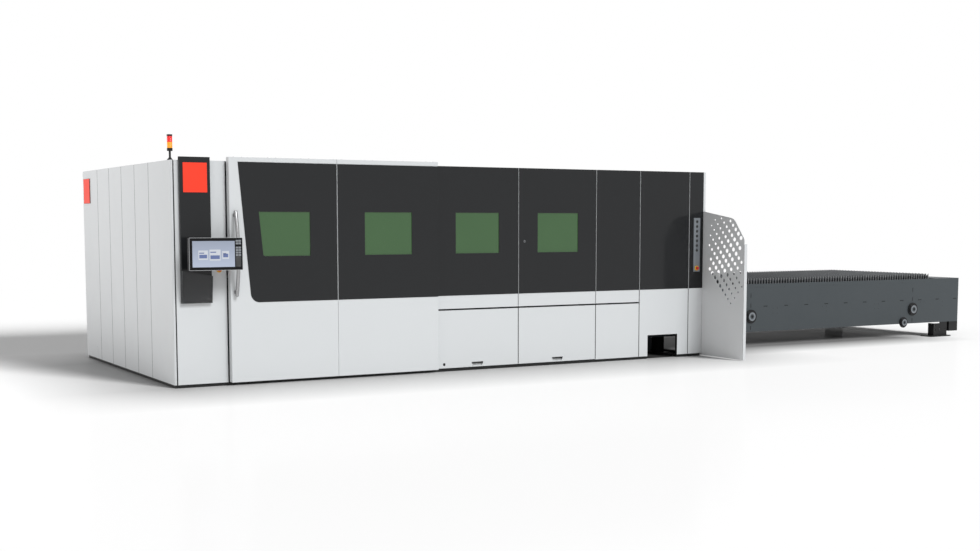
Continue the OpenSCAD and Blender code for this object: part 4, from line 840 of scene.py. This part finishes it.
def buildBezels():
    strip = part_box("button_strip")[0]

    def fillBezels(bm):
        for node in buttonNodes:
            low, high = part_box(node)
            radius = (high.x - low.x) / 2 + bezelSizes["gap"]
            spot = ((low.x + high.x) / 2, strip.y, (low.z + high.z) / 2)
            profile = [(radius + out, along) for out, along in
                       profileOf(bezelSizes["shares"], bezelSizes["wide"], bezelSizes["proud"])]
            addTurned(bm, profile, spot, outFront, steps=28)

    makePiece("buttonBezels", fillBezels, "cabin", "rollerPlastic")

    def fillCollars(bm):
        for node in ("column_stop_button", "strip_stop_button"):
            low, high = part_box(node)
            spot = ((low.x + high.x) / 2, high.y - collarSizes["seat"], (low.z + high.z) / 2)
            addTurned(bm, collarSizes["profile"], spot, outFront, steps=32)

    makePiece("stopCollars", fillCollars, "cabin", "buttonPlastic")


buildBezels()
print("operator side: bezels and collars")

# Signal light: ribbed lenses
signalSizes = {"ribs": 9, "ribDepth": 1.2 * mm,
               "shares": [(1, 0), (1, 0.2), (0, 0.45), (0, 0.75)]}  # of the rib's depth and its height


def buildSignal():
    ribs, depth = signalSizes["ribs"], signalSizes["ribDepth"]
    for node, name, slotName, look in (("signal_red_lens", "redRibbedLens", "lens_red", "lensRed"),
                                       ("signal_amber_lens", "amberRibbedLens", "lens_amber", "lensAmber")):
        low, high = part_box(node)
        radius, tall = (high.x - low.x) / 2, high.z - low.z
        profile = [(0, 0)]
        for rib in range(ribs):
            base, step = tall * rib / ribs, tall / ribs
            profile += [(radius - depth * inward, base + step * up) for inward, up in signalSizes["shares"]]
        profile += [(radius - depth, tall), (0, tall)]
        spot = ((low.x + high.x) / 2, (low.y + high.y) / 2, low.z)
        lens = makePiece(name, lambda bm: addTurned(bm, profile, spot, (0, 0, 1), steps=40), "cabin",
                         look)
        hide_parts(node)


buildSignal()
print("signal light: lenses")

# Walls: dark gaskets in the open joints, folded end strip, accent plate with painted shade on its edge and
# service cover
jointSizes = {"deep": 9 * mm, "thick": 6 * mm, "wide": 4 * mm, "frontWide": 7 * mm, "frontLow": 750 * mm,
              "grooveDeep": 0.8 * mm, "grooveRoot": 8 * mm, "grooveWide": 10 * mm, "sealBack": 7 * mm,
              "sealProfile": ((1.6 * mm, 10.4 * mm), (3 * mm, 7.8 * mm), (7 * mm, 6.4 * mm)),
              "bottom": 38 * mm, "topGap": 4 * mm}
stripSizes = {"wide": 37 * mm, "gap": 4 * mm, "deep": 40 * mm}
coverSizes = {"from": 3255 * mm, "to": 3614 * mm, "top": 185 * mm, "thick": 1.5 * mm, "round": 40 * mm,
              "foot": 1 * mm}
sidePlate = {"side": 310 * mm, "edge": 9 * mm, "top": 2300 * mm, "coat": 0.3 * mm, "inset": 1 * mm,
             "grow": 0.5 * mm}
leftJoints = (825, 1389, 1953, 2517, 3081)  # millimetres from the front
frontJoints = (4239, 5371, 6045, 6835)  # millimetres from the left wall


def buildGaskets():
    bottom, top = jointSizes["bottom"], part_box("left_wall_panels")[1].z - jointSizes["topGap"]

    def fillLeft(bm):
        face, root = wallX + jointSizes["grooveDeep"], wallX + jointSizes["grooveRoot"]
        half, wide = jointSizes["wide"] / 2, jointSizes["grooveWide"] / 2
        for offset in leftJoints:
            y = frontY + offset * mm
            outline = [(face, y - wide), (face, y + wide), (root, y + half), (root, y - half)]
            addPrism(bm, outline, Vector((0, 0, top - bottom)), lambda x, y: Vector((x, y, bottom)))

    def fillFront(bm):
        half, back = jointSizes["frontWide"] / 2, frontY + jointSizes["deep"]
        for x in frontJoints:
            addBox(bm, (wallX + x * mm - half, back, jointSizes["frontLow"]),
                   (wallX + x * mm + half, back + jointSizes["thick"], top))

    makePiece("leftWallGaskets", fillLeft, "cabin", "sealRubber")
    makePiece("frontGaskets", fillFront, "cabin", "sealRubber")


def addSeal(bm, joint, low, high):  # wedge in the rounded groove between two lower panels
    x = wallX + joint * mm
    side = [(wide / 2, frontY + deep) for deep, wide in jointSizes["sealProfile"]]
    outline = [(x + half, y) for half, y in side] + [(x - half, y) for half, y in reversed(side)]
    addPrism(bm, outline, Vector((0, 0, high - low)), lambda x, y: Vector((x, y, low)))


def buildSeals():
    back = jointSizes["sealBack"]
    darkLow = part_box("front_dark_plates")[0]

    def fillLower(bm):
        for joint in frontJoints[2:]:
            addSeal(bm, joint, jointSizes["bottom"], darkLow.z - back)

    for node, joint in zip(("flap_left", "flap_right"), frontJoints):
        low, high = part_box(node)
        makePiece(node + "Seal", lambda bm: addSeal(bm, joint, low.z + back, high.z - back), bodyOf[node],
                  "sealRubber")
    makePiece("lowerSeals", fillLower, "cabin", "sealRubber")


def buildEndStrip():  # folded edge of the end wall, outside the wing's root
    start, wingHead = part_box("front_dark_plates")[1].x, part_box("guard_wing")[1].z
    end, back = start + stripSizes["wide"], frontY + stripSizes["deep"]
    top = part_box("left_wall_panels")[1].z

    def fill(bm):
        addBox(bm, (start, frontY, wingHead), (end, back, top), bevel=2 * mm)
        addBox(bm, (start + stripSizes["gap"], frontY, jointSizes["bottom"]), (end, back, wingHead))

    makePiece("endStrip", fill, "cabin", "whitePaint")


def buildSidePlate():
    side, edge, top = sidePlate["side"], sidePlate["edge"], sidePlate["top"]
    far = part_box("accent_plates")[1].y

    def fillPlate(bm, out, inset, back):
        addBox(bm, (wallX - out, far - side + inset, top - side + inset),
               (wallX - back, far - inset, top - inset))

    # The body's edge takes the darker accent copy as painted shade; the face sits on it
    makePiece("sidePlateBody", lambda bm: fillPlate(bm, edge, -sidePlate["grow"], 0), "cabin",
              "accentShadedEdge")
    makePiece("sidePlateFace", lambda bm: fillPlate(bm, edge + sidePlate["coat"], sidePlate["inset"], edge),
              "cabin", "accentPaint")


def buildServiceCover():
    near, far = frontY + coverSizes["from"], frontY + coverSizes["to"]
    foot, bend = coverSizes["foot"], coverSizes["round"]
    outline = roundedOutline(near, jointSizes["bottom"], far, coverSizes["top"], [foot, foot, bend, bend])
    makePiece("serviceCover",
              lambda bm: addPrism(bm, outline, Vector((-coverSizes["thick"], 0, 0)),
                                  lambda y, z: Vector((wallX, y, z))),
              "cabin", "whitePaint")


buildSeals()
buildEndStrip()
buildGaskets()
buildSidePlate()
buildServiceCover()
print("walls: gaskets, end strip, side plate and service cover")

# Guard wing with its fading field of holes, in millimetres from the cabin's front edge and the floor
wingSizes = {"thick": 4 * mm, "foot": 10, "head": 1894, "bend": (-613, 1799), "tip": (-820, 1537),
             "bendRound": 150, "tipRound": 60, "start": (-436, 1441), "stepAlong": (-52.4, -53.5),
             "stepDown": (18.9, -126.9), "rows": range(-3, 5), "ranks": range(-5, 9), "field": (-788, -120),
             "topEdge": 30, "holeLargest": 26, "holeLoss": 2.7, "holeSteps": 20}


def roundCorner(before, corner, after, radius, steps=8):
    before, corner, after = Vector(before), Vector(corner), Vector(after)
    first, second = (before - corner).normalized(), (after - corner).normalized()
    half = first.angle(second) / 2
    centre = corner + (first + second).normalized() * radius / math.sin(half)
    start = corner + first * radius / math.tan(half) - centre
    end = corner + second * radius / math.tan(half) - centre
    return [tuple(centre + start.slerp(end, step / steps).normalized() * radius)
            for step in range(steps + 1)]


def wingTop(y):
    bend, tip = wingSizes["bend"], wingSizes["tip"]
    if y > bend[0]:
        return wingSizes["head"] + (bend[1] - wingSizes["head"]) * y / bend[0]
    return bend[1] + (tip[1] - bend[1]) * (y - bend[0]) / (tip[0] - bend[0])


def wingHoles():
    holes = []
    for row in wingSizes["rows"]:
        for rank in wingSizes["ranks"]:
            step = rank - row
            y, z = (start + step * along + row * down for start, along, down in
                    zip(wingSizes["start"], wingSizes["stepAlong"], wingSizes["stepDown"]))
            low, high = wingSizes["field"]
            if low < y < high and z < wingTop(y) - wingSizes["topEdge"]:
                fade = max(0, abs(rank - 2) - 1)  # largest along the middle of the field
                holes.append((y, z, wingSizes["holeLargest"] - wingSizes["holeLoss"] * fade))
    return holes


def buildWing():
    low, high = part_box("guard_wing")
    back, foot, head = (high.y - frontY) / mm, wingSizes["foot"], wingSizes["head"]
    bend, tip = wingSizes["bend"], wingSizes["tip"]
    outline = [(back, foot), (back, head), (0, head)]
    outline += roundCorner((0, head), bend, tip, wingSizes["bendRound"])
    outline += roundCorner(bend, tip, (tip[0], foot), wingSizes["tipRound"])
    outline.append((tip[0], foot))
    turns = [2 * math.pi * n / wingSizes["holeSteps"] for n in range(wingSizes["holeSteps"])]
    loops = [outline]
    for y, z, radius in wingHoles():
        loops.append([(y + radius * math.cos(turn), z + radius * math.sin(turn)) for turn in turns])

    def fillSheet(bm):
        edges = []
        for loop in loops:
            ring = [bm.verts.new((low.x, frontY + y * mm, z * mm)) for y, z in loop]
            edges += [bm.edges.new((vert, ring[n - 1])) for n, vert in enumerate(ring)]
        bmesh.ops.triangle_fill(bm, use_beauty=True, edges=edges)
        for part in bmesh.ops.extrude_face_region(bm, geom=bm.faces[:])["geom"]:
            if isinstance(part, bmesh.types.BMVert):
                part.co.x += wingSizes["thick"]

    def fillFold(bm):
        top = (tip[1] - wingSizes["tipRound"]) * mm
        addBox(bm, (low.x, low.y, foot * mm), (high.x, low.y + wingSizes["thick"], top), bevel=0.8 * mm)

    # The sheet takes the lighter copy of the white paint as painted light
    sheet = makePiece("wingSheet", fillSheet, "cabin", "wingPaintedLight")
    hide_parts("guard_wing")
    fold = makePiece("wingFold", fillFold, "cabin", "whitePaint")
    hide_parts("guard_wing")


buildWing()
print("wing: sheet with its holes")

# Changer: machined hub faces, painted shade on the floors of the cheek's slots, end block, cover screws,
# and black discs as painted shade in the dot holes of the cheek
hubSizes = {"large": 97 * mm, "small": 80 * mm, "stand": 34 * mm, "screws": 6, "screw": 6 * mm,
            "screwProud": 5 * mm, "seat": 0.2, "ring": 0.72, "bore": 0.2, "inset": 0.37,
            "insetProud": 0.5 * mm, "paleBand": (0.22, 0.615), "edge": 1.05}
hubSpots = [(8358, 438, "large"), (11556, 438, "large"), (11363, 244, "small")]  # millimetres: x, z
slotDepths = (1.5 * mm, 6 * mm)  # how far behind the cheek's face the floors of its slots lie
blockSizes = {"long": 186 * mm, "wide": 90 * mm, "low": 74 * mm, "top": 220.9 * mm, "coat": 0.6 * mm}


def buildHubDetail():
    spots = [(wallX + x * mm, z * mm, hubSizes[kind]) for x, z, kind in hubSpots]
    cheek = changerLow.y + hubSizes["stand"]

    def onHub(centre, low, high):
        if centre.y > cheek - 1 * mm:
            return False
        return any(low <= math.hypot(centre.x - x, centre.z - z) / radius < high
                   for x, z, radius in spots)

    def isSlot(centre, normal):
        return normal.y < -0.9 and slotDepths[0] < centre.y - cheek < slotDepths[1]

    def fillBlock(bm):
        coat = blockSizes["coat"]
        addBox(bm, (changerHigh.x - blockSizes["long"] - coat, cheek - coat, blockSizes["low"] - coat),
               (changerHigh.x + coat, cheek + blockSizes["wide"] + coat, blockSizes["top"]))

    def fillInsets(bm):
        for x, z, radius in spots:
            inner, outer = hubSizes["bore"] * radius, hubSizes["inset"] * radius
            proud = hubSizes["insetProud"]
            addTurned(bm, [(inner, 0), (inner, proud), (outer, proud), (outer, 0)],
                      (x, changerLow.y, z), outFront, steps=40)

    inside, outside = hubSizes["paleBand"]
    paintFaces("changer_frame", "stripCoat", lambda centre, normal: onHub(centre, inside, outside))
    paintFaces("changer_frame", "darkPaint", lambda centre, normal: (
        onHub(centre, 0.0, inside) or onHub(centre, outside, hubSizes["edge"])))
    # Painted shade: the floors of the cheek's slots in black
    paintFaces("changer_frame", "blackPaint", isSlot)
    makePiece("endBlock", fillBlock, "cabin", "blackPaint")
    makePiece("hubInsets", fillInsets, "cabin", "slatePaint")

    def fillScrews(bm):
        for x, z, radius in spots:
            for screw in range(hubSizes["screws"]):
                angle = 2 * math.pi * (screw + 0.5) / hubSizes["screws"]
                away = hubSizes["ring"] * radius
                spot = (x + away * math.cos(angle), changerLow.y + hubSizes["seat"] * hubSizes["stand"],
                        z + away * math.sin(angle))
                headScrew(bm, spot, outFront, hubSizes["screw"], hubSizes["screwProud"])

    makePiece("hubScrews", fillScrews, "cabin", "blackPaint")


buildHubDetail()

cheekSizes = {"dot": 5 * mm, "thick": 0.8 * mm, "shares": [(0, 1), (0.8, 1), (1, 0)],
              "rowHigh": 846 * mm, "rowMid": 540 * mm, "rowLow": 470 * mm}
cheekDots = {"rowHigh": (8466, 8520, 8574, 8980, 9450, 9920, 10390, 10860, 11330, 11800, 12270),
             "rowMid": (8770, 8850, 9710, 9790, 10760, 10840, 11730, 11810, 12210, 12290),
             "rowLow": (8770, 8850, 9790, 10760, 10840, 12210)}


def buildCheekDots():
    cheek = changerLow.y + hubSizes["stand"]
    profile = profileOf(cheekSizes["shares"], cheekSizes["dot"], cheekSizes["thick"])

    def fill(bm):
        for row, places in cheekDots.items():
            for x in places:
                addTurned(bm, profile, (wallX + x * mm, cheek, cheekSizes[row]), outFront, steps=12)

    # The dot holes are black discs on the cheek's face: painted shade
    makePiece("cheekHoleShades", fill, "cabin", "blackPaint")


buildCheekDots()

# Painted shade inside the scrap outlet and on the end wall's inner face
outlet = {"left": wallX + 6060 * mm, "right": wallX + 6820 * mm, "top": 400 * mm}


def insideOutlet(centre, normal):
    between = outlet["left"] < centre.x < outlet["right"] and centre.z < outlet["top"]
    return between and abs(normal.y) < 0.5


paintFaces("front_panels", "insidePaintedShade", insideOutlet)
paintFaces("end_wall", "insidePaintedShade", lambda centre, normal: normal.x < -0.5)
print("changer: hubs and plugs")

# Camera: the photograph's own station, fitted to the cabin's edges
cameraView = {"place": (-4.108, -13.757, 1.750), "yaw": 30.125, "pitch": 5.280, "focalPixels": 1332.0,
              "frame": (980, 551), "centre": (492.3, 345.5), "sensor": 36.0, "far": 200.0}


def buildCamera():
    wide, tall = cameraView["frame"]
    data = bpy.data.cameras.new("photoCamera")
    data.sensor_fit = "HORIZONTAL"
    data.sensor_width = cameraView["sensor"]
    data.lens = cameraView["focalPixels"] * cameraView["sensor"] / wide
    data.shift_x = (wide / 2 - cameraView["centre"][0]) / wide
    data.shift_y = (cameraView["centre"][1] - tall / 2) / wide
    data.clip_end = cameraView["far"]
    camera = bpy.data.objects.new("photoCamera", data)
    yaw, pitch = math.radians(cameraView["yaw"]), math.radians(cameraView["pitch"])
    look = Vector((math.sin(yaw) * math.cos(pitch), math.cos(yaw) * math.cos(pitch), -math.sin(pitch)))
    x, y, z = cameraView["place"]
    camera.location = (wallX + x, frontY + y, z)
    camera.rotation_mode = "QUATERNION"
    camera.rotation_quaternion = look.to_track_quat("-Z", "Y")
    bpy.context.scene.collection.objects.link(camera)
    bpy.context.scene.camera = camera


buildCamera()

# Studio: pale floor with painted shadows that runs out into the white surround, and soft lights
studio = {"floorHalf": 60.0, "fadeFrom": 10.0, "fadeTo": 20.0, "surround": 1.0, "ambient": 0.38,
          "rough": 0.6, "gloss": 0.14, "sheen": 0.05, "floorTone": (0.93, 0.93, 0.93)}
# Painted shadows on the floor: a soft contact shadow round the cabin, a dark floor inside the cabin and the
# shadow under the changer
floorShades = [{"middle": (wallX + 3.5, frontY + 1.5), "half": (5.1, 3.1), "soft": 1.6,
                "tone": (0.40, 0.40, 0.40), "bounce": 0.4},
               {"middle": (wallX + 3.6, frontY + 1.5), "half": (3.4, 1.45), "soft": 0.01,
                "tone": (0.03, 0.03, 0.03), "bounce": 0.0},
               {"middle": (wallX + 9.3, frontY + 1.5), "half": (3.0, 1.75), "soft": 0.9,
                "tone": (0.22, 0.22, 0.22), "bounce": 0.0}]
keySun = {"name": "keySun", "swing": 13.0, "rise": 41.0, "spread": 22.0, "strength": 1.99,
          "tint": (0.955, 0.985, 1.0)}
floorSun = {"name": "floorSun", "swing": 20.0, "rise": 25.0, "spread": 16.0, "strength": 5.3,
            "tint": (1.0, 1.0, 1.0)}
sunPlace = (6.0, -9.0, 9.0)  # any place will do for a sun
sideFill = {"name": "sideFill", "place": (-12.5, 2.6, 4.6), "aim": (-6.2, 0.9, 1.7), "size": (5.0, 4.0),
            "power": 218.0}


def shadeMask(tree, spot, shade):
    middle = (*shade["middle"], 0.0)
    offset = place(tree, "ShaderNodeVectorMath", {0: spot, 1: middle}, operation="SUBTRACT")
    size = place(tree, "ShaderNodeVectorMath", {0: offset.outputs["Vector"]}, operation="ABSOLUTE")
    axes = splitAxes(tree, size.outputs["Vector"])
    edges = [ramp(tree, axes[axis], half - shade["soft"], half, 1.0, 0.0)
             for axis, half in zip("XY", shade["half"])]
    mask = calculate(tree, "MULTIPLY", *edges)
    if shade["bounce"] > 0:  # the light that the floor sends back to the walls stays paler
        rays = place(tree, "ShaderNodeLightPath").outputs["Is Diffuse Ray"]
        mask = calculate(tree, "MULTIPLY_ADD", rays, -shade["bounce"], mask, use_clamp=True)
    return mask


def buildFloor():
    half = studio["floorHalf"]
    mesh = bpy.data.meshes.new("studioFloor")
    corners = [(-half, -half, 0), (half, -half, 0), (half, half, 0), (-half, half, 0)]
    mesh.from_pydata(corners, [], [(0, 1, 2, 3)])
    floor = bpy.data.objects.new("studioFloor", mesh)
    bpy.context.scene.collection.objects.link(floor)
    floor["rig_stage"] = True
    material, tree, shader = newMaterial(
        "paleFloor", {"Roughness": studio["rough"], "Specular IOR Level": 0.0})
    mirror = place(tree, "ShaderNodeBsdfGlossy", {"Roughness": studio["gloss"]})
    sheen = place(tree, "ShaderNodeMixShader", {
        0: studio["sheen"], 1: shader.outputs["BSDF"], 2: mirror.outputs["BSDF"]})
    glow = place(tree, "ShaderNodeEmission", {
        "Color": (1.0, 1.0, 1.0, 1.0), "Strength": studio["surround"]})
    spot = place(tree, "ShaderNodeNewGeometry").outputs["Position"]
    reach = place(tree, "ShaderNodeVectorMath", {0: spot}, operation="LENGTH").outputs["Value"]
    blend = place(tree, "ShaderNodeMixShader", {
        0: ramp(tree, reach, studio["fadeFrom"], studio["fadeTo"]),
        1: sheen.outputs["Shader"], 2: glow.outputs["Emission"]})
    feed(tree, tree.nodes["Material Output"].inputs["Surface"], blend.outputs["Shader"])
    tone = studio["floorTone"]
    for shade in floorShades:
        tone = mixColours(tree, shadeMask(tree, spot, shade), tone, shade["tone"])
    feed(tree, shader.inputs["Base Color"], tone)
    mesh.materials.append(material)
    return floor


def buildSurround():
    world = bpy.data.worlds.new("studioWorld")
    world.use_nodes = True
    tree = world.node_tree
    sky = tree.nodes["Background"]
    rays = place(tree, "ShaderNodeLightPath").outputs
    seen = calculate(tree, "MAXIMUM", rays["Is Camera Ray"], rays["Is Glossy Ray"])
    feed(tree, sky.inputs["Strength"], ramp(tree, seen, 0.0, 1.0, studio["ambient"], studio["surround"]))
    feed(tree, sky.inputs["Color"], (1.0, 1.0, 1.0, 1.0))
    bpy.context.scene.world = world
    bpy.context.scene.view_settings.view_transform = "Standard"


def addLight(data, location, direction):
    light = bpy.data.objects.new(data.name, data)
    light.location = location
    light.rotation_mode = "QUATERNION"
    light.rotation_quaternion = direction.to_track_quat("-Z", "Y")
    bpy.context.scene.collection.objects.link(light)
    return light


def addSun(look):
    sun = bpy.data.lights.new(look["name"], "SUN")
    sun.energy = look["strength"]
    sun.angle = math.radians(look["spread"])
    sun.color = look["tint"]
    swing, rise = math.radians(look["swing"]), math.radians(look["rise"])
    towards = Vector((math.sin(swing) * math.cos(rise), -math.cos(swing) * math.cos(rise), math.sin(rise)))
    return addLight(sun, sunPlace, -towards)


def lightOnly(light, name, pieces):
    lit = bpy.data.collections.new(name)
    for piece in pieces:
        lit.objects.link(piece)
    light.light_linking.receiver_collection = lit


def buildLights(floor):
    lightOnly(addSun(keySun), "machineFront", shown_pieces())
    lightOnly(addSun(floorSun), "floorOnly", [floor])  # lays the long soft shadow behind the machine
    fill = bpy.data.lights.new(sideFill["name"], "AREA")
    fill.shape = "RECTANGLE"
    fill.size, fill.size_y = sideFill["size"]
    fill.energy = sideFill["power"]
    lamp = addLight(fill, sideFill["place"], Vector(sideFill["aim"]) - Vector(sideFill["place"]))
    lightOnly(lamp, "machineOnly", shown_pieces())  # the fill leaves the floor in shade


studioFloor = buildFloor()
buildSurround()
buildLights(studioFloor)
print("studio: camera, floor, surround and lights")
